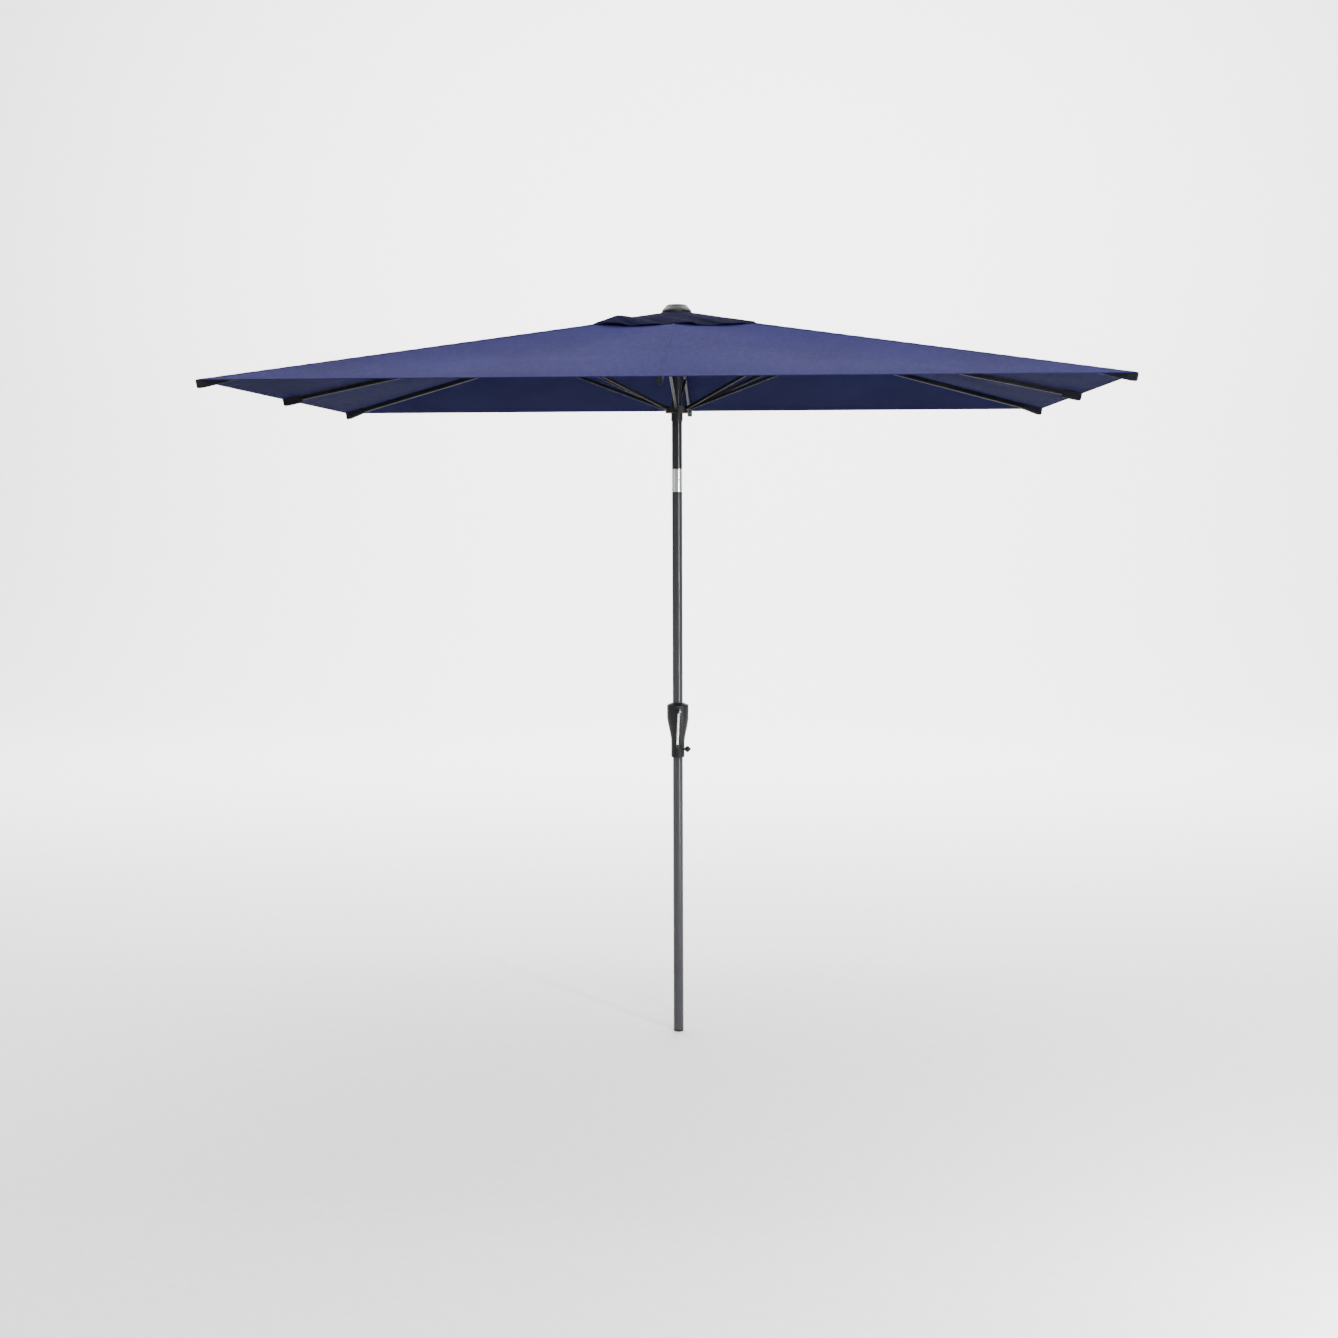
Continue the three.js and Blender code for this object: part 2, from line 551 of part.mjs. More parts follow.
function makeRunner() {
  const [bore, bottom, crown] = [20, 2264, 42];
  const profile = [
    [bore, bottom], [21, bottom], [21.5, bottom + 1], [21.5, 2292], [crown - 1, 2292], [crown, 2293],
    [crown, RUNNER_TOP_Z - 1], [crown - 1, RUNNER_TOP_Z], [bore, RUNNER_TOP_Z], [bore, bottom],
  ];
  let runner = solid(turned(profile, 40));
  SPOKES.forEach(({ azimuth }) => {
    const slot = box(RUNNER_PIVOT_R - 6.3, 60, -STRUT_W / 2 - GAP, STRUT_W / 2 + GAP, 2280, 2330);
    runner = runner.subtract(solid(slot.rotateZ(azimuth)));
  });
  piece('runner', shaped(runner), BLACK_PLASTIC);
}

// Outline of a bar's eye: round about a pivot, square where it meets the bar.
function eyeOutline(pivot, radius, low, high, towards) {
  const shape = new THREE.Shape();
  shape.moveTo(pivot + towards * 14, low);
  shape.absarc(pivot, 0, radius, -Math.PI / 2, Math.PI / 2, towards > 0);
  shape.lineTo(pivot + towards * 14, high);
  return shape;
}

function makeRib({ side, azimuth, reach }) {
  const { slope, centre, length, lug, strut, strutAngle } = ribLayout(reach);
  const spoke = turnedFrame(azimuth);
  const rib = new THREE.Group();
  rib.position.set(HUB_PIVOT_R, 0, HUB_PIVOT_Z);
  rib.rotation.y = slope;
  spoke.add(rib);

  const [low, high] = [centre - RIB_H / 2, centre + RIB_H / 2];
  const head = plate(eyeOutline(0, 7, low, high, 1), RIB_W / 2);
  const lugShape = new THREE.Shape();
  lugShape.moveTo(lug - LUG_R, low + 0.5);
  lugShape.absarc(lug, centre - LUG_DROP, LUG_R, Math.PI, 2 * Math.PI, false);
  lugShape.lineTo(lug + LUG_R, low + 0.5);
  const rivetAt = (y) => upright(lug, y, centre - LUG_DROP);
  const rivetEnd = STRUT_W / 2 + 0.8;
  const eyeHole = rod(upright(0, -20, 0), upright(0, 20, 0), EYE_HOLE_R, 10);
  const body = carved(
    [squareTube(RIB_W, RIB_H, 13, length, centre), head, plate(lugShape, LUG_HALF, 8),
      rod(rivetAt(-rivetEnd), rivetAt(rivetEnd), RIVET_R, 8)],
    [eyeHole],
  );
  piece(`rib_${side}`, body, CHARCOAL, rib);

  const pocketEnd = length + 7;
  const pocketStart = pocketEnd - (reach === CORNER_REACH ? CORNER_POCKET_LENGTH : POCKET_LENGTH);
  const half = POCKET_WIDTH / 2;
  const pocketBox = box(pocketStart, pocketEnd, -half, half, high - POCKET_HEIGHT, high - 1.8);
  const hollow = box(0, length + 0.5, -RIB_W / 2 - GAP, RIB_W / 2 + GAP, low - GAP, high + 5);
  piece(`tip_pocket_${side}`, carved([pocketBox], [hollow]), BLACK_FABRIC, rib);

  const strutFrame = new THREE.Group();
  strutFrame.position.set(lug, 0, centre - LUG_DROP);
  strutFrame.rotation.y = -strutAngle - slope;
  rib.add(strutFrame);
  const tall = STRUT_H / 2;
  const bar = squareTube(STRUT_W, STRUT_H, 13, strut - 13, 0);
  const forkEnd = plate(eyeOutline(0, tall, -tall, tall, 1), STRUT_W / 2);
  const runnerEnd = plate(eyeOutline(strut, tall, -tall, tall, -1), STRUT_W / 2);
  const forkSlot = box(-20, 8, -LUG_HALF - GAP, LUG_HALF + GAP, -20, 20);
  const rivetHole = rod(upright(0, -20, 0), upright(0, 20, 0), RIVET_R + GAP, 8);
  const pinHole = rod(upright(strut, -20, 0), upright(strut, 20, 0), EYE_HOLE_R, 10);
  const weepHole = rod(upright(strut - 24, 0, 0), upright(strut - 24, 0, 20), 1.5, 8);
  const strutBody = carved([bar, forkEnd, runnerEnd], [forkSlot, rivetHole, pinHole, weepHole]);
  piece(`strut_${side}`, strutBody, CHARCOAL, strutFrame);
}

function makeCanopy() {
  const ventShare = 0.15;
  piece('canopy', shell([canopyRing(ventShare), canopyRing(1)], FABRIC), NAVY);
  const flapShare = 0.196;
  const flapTop = 2649.3;
  const flap = [roundRing(9, flapTop), roundRing(66, flapTop), canopyRing(flapShare, 9)];
  piece('vent_flap', shell(flap, FABRIC), NAVY);
}

makePoles();
makeTiltJoint();
makeCrank();
makeHead();
makeCord();
makeRunner();
SPOKES.forEach(makeRib);
makeCanopy();

export default umbrella;
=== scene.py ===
"""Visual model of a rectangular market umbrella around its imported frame.

Everything is in metres in the frame's own axes: +Z up the pole, +X along the canopy's long
side, -Y towards the crank. Places come from the frame's boxes and joints.
"""

import json
import logging
import math
from collections.abc import Callable, Sequence
from dataclasses import dataclass
from enum import Enum

import bmesh
import bpy
from mathutils import Matrix, Vector, noise


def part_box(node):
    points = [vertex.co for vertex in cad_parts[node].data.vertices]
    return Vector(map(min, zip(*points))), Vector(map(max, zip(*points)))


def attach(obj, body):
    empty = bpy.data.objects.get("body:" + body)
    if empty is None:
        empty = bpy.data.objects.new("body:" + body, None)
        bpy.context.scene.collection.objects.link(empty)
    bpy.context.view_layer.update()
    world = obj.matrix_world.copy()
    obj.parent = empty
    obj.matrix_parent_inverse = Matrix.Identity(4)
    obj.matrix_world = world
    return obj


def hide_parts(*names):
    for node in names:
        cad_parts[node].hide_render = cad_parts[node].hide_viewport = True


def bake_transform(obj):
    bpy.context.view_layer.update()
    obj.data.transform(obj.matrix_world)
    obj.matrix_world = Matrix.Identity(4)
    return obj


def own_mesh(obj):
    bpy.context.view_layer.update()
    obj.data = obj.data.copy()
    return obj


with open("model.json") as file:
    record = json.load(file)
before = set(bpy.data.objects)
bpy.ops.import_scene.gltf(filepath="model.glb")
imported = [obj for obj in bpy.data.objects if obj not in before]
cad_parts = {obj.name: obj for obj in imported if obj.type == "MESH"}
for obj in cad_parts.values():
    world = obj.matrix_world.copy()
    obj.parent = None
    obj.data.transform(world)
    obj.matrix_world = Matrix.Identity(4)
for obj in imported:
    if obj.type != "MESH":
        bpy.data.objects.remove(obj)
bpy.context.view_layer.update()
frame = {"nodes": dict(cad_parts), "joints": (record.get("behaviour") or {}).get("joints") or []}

LOG = logging.getLogger("umbrella")
MM = 0.001
JOINTS = {j["name"]: j for j in frame["joints"]}
NODES = frame["nodes"]

Point = Sequence[float]


# ---------------------------------------------------------------- colour and material nodes


def srgb(colour: str) -> tuple[float, float, float, float]:
    """Turn an sRGB hex colour into a linear one.

    Args:
        colour: Six hex digits after a hash.

    Returns:
        Linear red, green and blue with an alpha of 1.
    """
    parts = [int(colour[i : i + 2], 16) / 255 for i in (1, 3, 5)]
    lin = [c / 12.92 if c <= 0.04045 else ((c + 0.055) / 1.055) ** 2.4 for c in parts]
    return lin[0], lin[1], lin[2], 1.0


class Graph:
    """The node graph of one material, ending in a Principled shader."""

    def __init__(self, name: str) -> None:
        """Start an empty material called name."""
        self.material = bpy.data.materials.new(name)
        self.material.use_nodes = True
        self.tree = self.material.node_tree
        self.tree.nodes.clear()
        self.shader = self.add("ShaderNodeBsdfPrincipled")
        self.add("ShaderNodeOutputMaterial", {"Surface": self.shader.outputs["BSDF"]})

    def add(self, kind: str, inputs: dict | None = None, **settings: object) -> bpy.types.Node:
        """Add a node with its settings, values and links.

        Args:
            kind: Blender's name for the node type.
            inputs: Socket name or number to a value, or to a socket that feeds it.
            **settings: Attributes of the node itself.

        Returns:
            The new node.
        """
        node = self.tree.nodes.new(kind)
        for key, value in settings.items():
            setattr(node, key, value)
        for key, value in (inputs or {}).items():
            if isinstance(value, bpy.types.NodeSocket):
                self.tree.links.new(value, node.inputs[key])
            else:
                node.inputs[key].default_value = value
        return node

    def finish(self, colour: object, roughness: object, height: object = None,
               depth: float = 0.0, **plain: object) -> bpy.types.Material:
        """Feed the shader and return the material.

        Args:
            colour: Linear colour or a colour socket.
            roughness: Number or socket.
            height: Socket that gives the relief, if there is any.
            depth: Height of the relief in metres.
            **plain: Shader values by name, with underscores for spaces.

        Returns:
            The finished material.
        """
        values: dict[str, object] = {"Base Color": colour, "Roughness": roughness}
        values |= {key.replace("_", " "): value for key, value in plain.items()}
        if height is not None:
            bump = self.add("ShaderNodeBump", {"Height": height, "Distance": depth, "Strength": 1.0})
            values["Normal"] = bump.outputs["Normal"]
        for key, value in values.items():
            if isinstance(value, bpy.types.NodeSocket):
                self.tree.links.new(value, self.shader.inputs[key])
            else:
                self.shader.inputs[key].default_value = value
        return self.material

    def place(self, scale: Point = (1, 1, 1)) -> bpy.types.NodeSocket:
        """Return object coordinates multiplied by scale."""
        where = self.add("ShaderNodeTexCoord")
        mapping = self.add("ShaderNodeMapping", {"Vector": where.outputs["Object"], "Scale": scale})
        return mapping.outputs["Vector"]

    def noise(self, size_mm: float, detail: float = 2.0, scale: Point = (1, 1, 1)) -> bpy.types.NodeSocket:
        """Return noise whose features are about size_mm across."""
        inputs = {"Vector": self.place(scale), "Scale": 1 / (size_mm * MM), "Detail": detail}
        return self.add("ShaderNodeTexNoise", inputs).outputs["Fac"]

    def ramp(self, value: bpy.types.NodeSocket, low: float, high: float,
             out_low: float, out_high: float) -> bpy.types.NodeSocket:
        """Map value from one range to another, clamped."""
        inputs = {"Value": value, 1: low, 2: high, 3: out_low, 4: out_high}
        return self.add("ShaderNodeMapRange", inputs).outputs["Result"]

    def mix(self, share: object, first: object, second: object) -> bpy.types.NodeSocket:
        """Mix two colours by share."""
        inputs = {0: share, 6: first, 7: second}
        return self.add("ShaderNodeMix", inputs, data_type="RGBA").outputs[2]

    def stripes(self, value: bpy.types.NodeSocket) -> bpy.types.NodeSocket:
        """Return the sine of value."""
        return self.add("ShaderNodeMath", {0: value}, operation="SINE").outputs[0]

    def sum(self, first: object, second: object, how: str = "ADD") -> bpy.types.NodeSocket:
        """Combine two numbers by the named operation."""
        return self.add("ShaderNodeMath", {0: first, 1: second}, operation=how).outputs[0]


# ---------------------------------------------------------------- finishes


@dataclass(frozen=True)
class WovenPolyester:
    """Solution-dyed polyester canvas, plain weave: matt, with a soft sheen at grazing angles.

    The real threads are 0.45 mm apart, too fine to show, so the weave is drawn 2.4 mm apart.
    """

    name: str
    colour: str
    faded: str
    thread_mm: float = 2.4
    relief_mm: float = 0.12
    sheen: float = 0.04
    specular: float = 0.04

    def build(self) -> bpy.types.Material:
        """Return the material."""
        g = Graph(self.name)
        turn = math.pi / (self.thread_mm * MM)
        split = g.add("ShaderNodeSeparateXYZ", {0: g.place((turn, turn, turn))})
        weave = g.sum(g.stripes(split.outputs["X"]), g.stripes(split.outputs["Y"]), "MULTIPLY")
        slub = g.noise(14, 3.0, (1, 0.12, 1))
        cloud = g.noise(420, 2.0)
        fade = g.ramp(g.sum(cloud, g.sum(slub, 0.25, "MULTIPLY")), 0.45, 0.85, 0.0, 1.0)
        tone = g.mix(fade, srgb(self.colour), srgb(self.faded))
        thread = g.ramp(weave, -1, 1, 0.0, 0.22)
        colour = g.mix(thread, tone, srgb(self.faded))
        rough = g.ramp(slub, 0.3, 0.7, 0.82, 0.93)
        height = g.sum(g.ramp(weave, -1, 1, 0, 1), g.ramp(slub, 0.2, 0.8, 0, 1.2))
        return g.finish(colour, rough, height, self.relief_mm * MM, Sheen_Weight=self.sheen,
                        Sheen_Roughness=0.4, Sheen_Tint=srgb("#8f88d8"), Specular_IOR_Level=self.specular)


@dataclass(frozen=True)
class Webbing:
    """Nylon webbing, a tight rib weave: near-black with a slight silky shine along the ribs."""

    name: str
    colour: str
    rib_mm: float = 1.6

    def build(self) -> bpy.types.Material:
        """Return the material."""
        g = Graph(self.name)
        turn = 2 * math.pi / (self.rib_mm * MM)
        split = g.add("ShaderNodeSeparateXYZ", {0: g.place((turn, turn, turn))})
        along = g.sum(split.outputs["X"], split.outputs["Y"])
        rib = g.ramp(g.stripes(along), -1, 1, 0, 1)
        colour = g.mix(g.sum(rib, 0.35, "MULTIPLY"), srgb(self.colour), srgb("#20222c"))
        return g.finish(colour, g.ramp(rib, 0, 1, 0.9, 0.7), rib, 0.25 * MM, Specular_IOR_Level=0.1)


@dataclass(frozen=True)
class PowderCoat:
    """Polyester powder coat on steel tube: satin, with the faint orange peel of a baked film."""

    name: str
    colour: str
    roughness: float
    peel_mm: float = 1.3
    shine: float = 0.3

    def build(self) -> bpy.types.Material:
        """Return the material."""
        g = Graph(self.name)
        peel = g.noise(self.peel_mm, 1.0)
        dust = g.noise(160, 3.0)
        colour = g.mix(g.ramp(dust, 0.3, 0.8, 0.0, 0.06), srgb(self.colour), srgb("#5d5e62"))
        rough = g.ramp(dust, 0.2, 0.8, self.roughness - 0.015, self.roughness + 0.025)
        return g.finish(colour, rough, peel, 0.012 * MM, Metallic=0.0, Specular_IOR_Level=self.shine)


@dataclass(frozen=True)
class ChromePlate:
    """Decorative chrome on a cast zinc knuckle: a mirror with only fine wiping marks."""

    name: str
    colour: str = "#e4e6e8"

    def build(self) -> bpy.types.Material:
        """Return the material."""
        g = Graph(self.name)
        wipe = g.noise(3, 2.0, (1, 1, 0.08))
        rough = g.ramp(wipe, 0.35, 0.75, 0.05, 0.12)
        return g.finish(srgb(self.colour), rough, wipe, 0.004 * MM, Metallic=1.0)


@dataclass(frozen=True)
class ZincSteel:
    """Zinc-plated steel, drawn or turned: grey, with a dull grain along the part."""

    name: str
    colour: str = "#9fa1a4"
    roughness: float = 0.34

    def build(self) -> bpy.types.Material:
        """Return the material."""
        g = Graph(self.name)
        grain = g.noise(1.5, 3.0, (1, 1, 0.1))
        spangle = g.noise(9, 2.0)
        colour = g.mix(g.ramp(spangle, 0.4, 0.7, 0.0, 0.3), srgb(self.colour), srgb("#c6c8ca"))
        rough = g.ramp(grain, 0.3, 0.7, self.roughness - 0.06, self.roughness + 0.1)
        return g.finish(colour, rough, grain, 0.01 * MM, Metallic=1.0)


@dataclass(frozen=True)
class NickelRod:
    """Bright nickel-plated steel rod with a lacquer over it: pale, nearly white under soft light."""

    name: str
    colour: str = "#f1f2f2"

    def build(self) -> bpy.types.Material:
        """Return the material."""
        g = Graph(self.name)
        draw = g.noise(2.5, 2.0, (1, 1, 0.05))
        rough = g.ramp(draw, 0.3, 0.7, 0.2, 0.3)
        return g.finish(srgb(self.colour), rough, draw, 0.006 * MM, Metallic=0.75,
                        Coat_Weight=0.4, Coat_Roughness=0.12)


@dataclass(frozen=True)
class MouldedPlastic:
    """Injection-moulded black ABS or nylon: the tool's spark-eroded grain breaks up the shine."""

    name: str
    colour: str
    roughness: float
    grain_mm: float = 0.9
    relief_mm: float = 0.03

    def build(self) -> bpy.types.Material:
        """Return the material."""
        g = Graph(self.name)
        grain = g.noise(self.grain_mm, 2.0)
        wear = g.noise(35, 4.0)
        colour = g.mix(g.ramp(wear, 0.45, 0.8, 0.0, 0.25), srgb(self.colour), srgb("#26272a"))
        rough = g.ramp(wear, 0.3, 0.7, self.roughness - 0.05, self.roughness + 0.07)
        return g.finish(colour, rough, grain, self.relief_mm * MM, Specular_IOR_Level=0.25)


@dataclass(frozen=True)
class BraidedCord:
    """White braided polyester cord: strands cross in a fine slanting pattern."""

    name: str
    colour: str = "#e6e3da"
    pick_mm: float = 2.2

    def build(self) -> bpy.types.Material:
        """Return the material."""
        g = Graph(self.name)
        turn = 2 * math.pi / (self.pick_mm * MM)
        split = g.add("ShaderNodeSeparateXYZ", {0: g.place((turn, turn, turn))})
        slant = g.sum(split.outputs["Z"], g.sum(split.outputs["X"], 0.8, "MULTIPLY"))
        braid = g.ramp(g.stripes(slant), -1, 1, 0, 1)
        colour = g.mix(braid, srgb("#b4b0a6"), srgb(self.colour))
        return g.finish(colour, 0.85, braid, 0.2 * MM)


@dataclass(frozen=True)
class StudioPaper:
    """Matt white background paper."""

    name: str = "studio_paper"
    colour: str = "#f4f4f4"

    def build(self) -> bpy.types.Material:
        """Return the material."""
        g = Graph(self.name)
        fibre = g.noise(40, 2.0)
        colour = g.mix(g.ramp(fibre, 0.4, 0.6, 0, 1), srgb(self.colour), srgb("#f7f7f7"))
        return g.finish(colour, 0.9)


class Finish(Enum):
    """The umbrella's finishes."""

    CANOPY = WovenPolyester("navy_polyester_canvas", "#161539", "#1c1b45")
    # painted shade: the vent flap is the canopy's own canvas in a darker copy, standing for the shade that
    # it lies in
    FLAP_PAINTED_SHADE = WovenPolyester("navy_polyester_flap_painted_shade", "#08071a", "#0d0b23", sheen=0.02, specular=0.02)
    # painted shade: the cloth's underside is the same canvas coloured darker, standing for the shade below
    # the canopy
    UNDERSIDE_PAINTED_SHADE = WovenPolyester("navy_underside_painted_shade", "#0f1027", "#14152f", sheen=0.0, specular=0.006)
    TAPE = WovenPolyester("navy_seam_tape", "#151438", "#1b1a43", thread_mm=1.6, relief_mm=0.2)
    POCKET = Webbing("black_nylon_webbing", "#0d0e13")
    POLE = PowderCoat("charcoal_powder_coat", "#2b2c2f", 0.2)
    MAST = PowderCoat("dark_charcoal_powder_coat", "#18191c", 0.22)
    FRAME = PowderCoat("black_navy_powder_coat", "#07080d", 0.45, shine=0.07)
    CHROME = ChromePlate("chrome_plate")
    STEEL = ZincSteel("zinc_plated_steel")
    ROD = NickelRod("nickel_plated_rod")
    HOUSING = MouldedPlastic("black_moulded_abs", "#0c0d0f", 0.5)
    GLOSS = MouldedPlastic("black_moulded_nylon", "#08090b", 0.42, relief_mm=0.012)
    CORD = BraidedCord("white_braided_cord")
    PAPER = StudioPaper()


_built: dict[Finish, bpy.types.Material] = {}


def material(finish: Finish) -> bpy.types.Material:
    """Return the finish's material, made once."""
    if finish not in _built:
        _built[finish] = finish.value.build()
    return _built[finish]


# ---------------------------------------------------------------- mesh helpers


Mesh = tuple[list[Vector], list[tuple[int, ...]]]


def make(name: str, mesh: Mesh, finish: Finish, body: str,
         replaces: Sequence[str] = (), sharp_deg: float = 35.0) -> bpy.types.Object:
    """Make a piece from points and faces, and fasten it to a body.

    Args:
        name: The piece's name.
        mesh: Its points and faces.
        finish: What it is made of.
        body: The body that it rides on.
        replaces: CAD nodes that it stands for.
        sharp_deg: Edges that turn more than this stay sharp.

    Returns:
        The new object.
    """
    data = bpy.data.meshes.new(name)
    data.from_pydata([tuple(p) for p in mesh[0]], [], mesh[1])
    edit = bmesh.new()
    edit.from_mesh(data)
    bmesh.ops.remove_doubles(edit, verts=edit.verts, dist=1e-6)
    bmesh.ops.recalc_face_normals(edit, faces=edit.faces)
    edit.to_mesh(data)
    edit.free()
    data.shade_smooth()
    data.set_sharp_from_angle(angle=math.radians(sharp_deg))
    obj = bpy.data.objects.new(name, data)
    bpy.context.scene.collection.objects.link(obj)
    data.materials.append(material(finish))
    if body:
        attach(obj, body)
    if replaces:
        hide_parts(*replaces)
    LOG.info("%s: %d points on %s", name, len(data.vertices), body or "the stage")
    return obj


def turned(profile: Sequence[Point], steps: int = 72, start: float = 0.0,
           sweep: float = 2 * math.pi) -> Mesh:
    """Turn a profile about Z.

    Args:
        profile: Closed loop of (radius, height); the last point joins the first.
        steps: Steps round the sweep.
        start: First angle.
        sweep: How far to turn; less than a full turn is closed with flat ends.

    Returns:
        Points and faces.
    """
    n = len(profile)
    full = sweep > 2 * math.pi - 1e-6
    count = steps if full else steps + 1
    points = []
    for i in range(count):
        a = start + sweep * i / steps
        points += [Vector((r * math.cos(a), r * math.sin(a), z)) for r, z in profile]
    faces: list[tuple[int, ...]] = []
    for i in range(steps):
        here, there = i * n, (i + 1) % count * n
        faces += [(here + k, there + k, there + (k + 1) % n, here + (k + 1) % n) for k in range(n)]
    if not full:
        faces += [tuple(range(n)), tuple((count - 1) * n + k for k in reversed(range(n)))]
    return points, faces


def moved(mesh: Mesh, matrix: Matrix) -> Mesh:
    """Return the mesh with its points moved by matrix."""
    return [matrix @ p for p in mesh[0]], mesh[1]


def joined(*meshes: Mesh) -> Mesh:
    """Return several meshes as one."""
    points: list[Vector] = []
    faces: list[tuple[int, ...]] = []
    for more, their in meshes:
        faces += [tuple(k + len(points) for k in f) for f in their]
        points += more
    return points, faces


def rim(inner: float, outer: float, low: float, high: float, ease: float) -> list[Point]:
    """Return the profile of a ring with eased outer edges."""
    return [(inner, low), (outer - ease, low), (outer, low + ease), (outer, high - ease),
            (outer - ease, high), (inner, high)]


def tube(path: Sequence[Vector], radius: float, sides: int = 20) -> Mesh:
    """Sweep a round section along a path.

    Args:
        path: Points of the centreline.
        radius: The section's radius.
        sides: Sides of the section.

    Returns:
        Points and faces, closed at both ends.
    """
    count = len(path)
    side = Vector((0, 1, 0))
    points: list[Vector] = []
    for i, spot in enumerate(path):
        ahead = (path[min(i + 1, count - 1)] - path[max(i - 1, 0)]).normalized()
        side = (side - ahead * side.dot(ahead)).normalized()
        across = ahead.cross(side)
        for k in range(sides):
            a = 2 * math.pi * k / sides
            points.append(spot + (side * math.cos(a) + across * math.sin(a)) * radius)
    faces = [(i * sides + k, i * sides + (k + 1) % sides, (i + 1) * sides + (k + 1) % sides,
              (i + 1) * sides + k) for i in range(count - 1) for k in range(sides)]
    faces += [tuple(reversed(range(sides))), tuple((count - 1) * sides + k for k in range(sides))]
    return points, faces


def smooth_path(corners: Sequence[Vector], radius: float, steps: int = 8) -> list[Vector]:
    """Return the path through corners with each inner bend rounded off."""
    out = [corners[0]]
    for before, here, after in zip(corners, corners[1:], corners[2:]):
        first = here + (before - here).normalized() * radius
        last = here + (after - here).normalized() * radius
        for k in range(steps + 1):
            t = k / steps
            out.append(first * (1 - t) ** 2 + here * 2 * t * (1 - t) + last * t * t)
    return out + [corners[-1]]


def patch(surface: Callable[[float, float], Vector], u: tuple[float, float], v: tuple[float, float],
          nu: int, nv: int, up: float, down: float) -> Mesh:
    """Make a thin closed sheet on a surface.

    Args:
        surface: Gives the point at u and v.
        u: First and last u.
        v: First and last v.
        nu: Steps along u.
        nv: Steps along v.
        up: How far the top face stands above the surface.
        down: How far the lower face hangs below it.

    Returns:
        Points and faces.
    """
    grid = []
    for i in range(nu + 1):
        for k in range(nv + 1):
            grid.append(surface(u[0] + (u[1] - u[0]) * i / nu, v[0] + (v[1] - v[0]) * k / nv))
    row, total = nv + 1, len(grid)
    points = [p + Vector((0, 0, up)) for p in grid] + [p - Vector((0, 0, down)) for p in grid]
    faces: list[tuple[int, ...]] = []
    for i in range(nu):
        for k in range(nv):
            a, b, c, d = i * row + k, (i + 1) * row + k, (i + 1) * row + k + 1, i * row + k + 1
            faces += [(a, b, c, d), (total + d, total + c, total + b, total + a)]
    edge = [i * row for i in range(nu)] + [nu * row + k for k in range(nv)]
    edge += [i * row + nv for i in range(nu, 0, -1)] + list(range(nv, 0, -1))
    for a, b in zip(edge, edge[1:] + edge[:1]):
        faces.append((b, a, total + a, total + b))
    return points, faces


def cut(obj: bpy.types.Object, tool: Mesh, how: str) -> None:
    """Cut or trim a piece with another closed mesh.

    Args:
        obj: The piece.
        tool: The cutting mesh, which doesn't stay.
        how: DIFFERENCE, INTERSECT or UNION.
    """
    data = bpy.data.meshes.new("tool")
    data.from_pydata([tuple(p) for p in tool[0]], [], tool[1])
    edit = bmesh.new()
    edit.from_mesh(data)
    bmesh.ops.recalc_face_normals(edit, faces=edit.faces)
    edit.to_mesh(data)
    edit.free()
    helper = bpy.data.objects.new("tool", data)
    bpy.context.scene.collection.objects.link(helper)
    step = obj.modifiers.new("cut", "BOOLEAN")
    step.operation, step.object, step.solver = how, helper, "EXACT"
    bpy.context.view_layer.update()
    shaped = bpy.data.meshes.new_from_object(obj.evaluated_get(bpy.context.evaluated_depsgraph_get()))
    obj.modifiers.clear()
    obj.data = shaped
    bpy.data.objects.remove(helper)
    shaped.shade_smooth()
    shaped.set_sharp_from_angle(angle=math.radians(30))


def block(low: Point, high: Point) -> Mesh:
    """Return a box between two corners, used as a cutting tool."""
    points = [Vector((x, y, z)) for x in (low[0], high[0]) for y in (low[1], high[1])
              for z in (low[2], high[2])]
    faces = [(0, 1, 3, 2), (4, 6, 7, 5), (0, 4, 5, 1), (2, 3, 7, 6), (0, 2, 6, 4), (1, 5, 7, 3)]
    return points, faces


def prism(outline: Sequence[Vector], depth: Vector) -> Mesh:
    """Return the solid between a flat outline and the same outline moved by depth."""
    n = len(outline)
    points = [*outline, *(p + depth for p in outline)]
    faces = [tuple(range(n)), tuple(reversed(range(n, 2 * n)))]
    faces += [(k, n + k, n + (k + 1) % n, (k + 1) % n) for k in range(n)]
    return points, faces


def along(start: Vector, end: Vector, profile: Sequence[Point], steps: int = 32) -> Mesh:
    """Turn a profile about the line from start to end; heights are distances from start."""
    turn = (end - start).to_track_quat("Z", "Y").to_matrix().to_4x4()
    return moved(turned(profile, steps), Matrix.Translation(start) @ turn)


def dome(radius: float, height: float, steps: int = 6) -> list[Point]:
    """Return the profile of a low round head, flat below."""
    arc = [(radius * math.cos(a), height * math.sin(a))
           for a in (math.pi / 2 * k / steps for k in range(steps + 1))]
    return arc + [(1e-5, 0)]


# ---------------------------------------------------------------- where the umbrella's parts are


@dataclass(frozen=True)
class Spoke:
    """One rib's place: its side's name, the canopy's edge point over it and its hub pivot."""

    side: str
    edge: Vector
    pivot: Vector

    @property
    def body(self) -> str:
        """Name of the rib's body."""
        return f"rib_{self.side}"

    @property
    def joint(self) -> str:
        """Name of the rib's joint."""
        return f"rib_{self.side}_fold"

    @property
    def azimuth(self) -> float:
        """Direction of the rib seen from above."""
        return math.atan2(self.edge.y, self.edge.x)


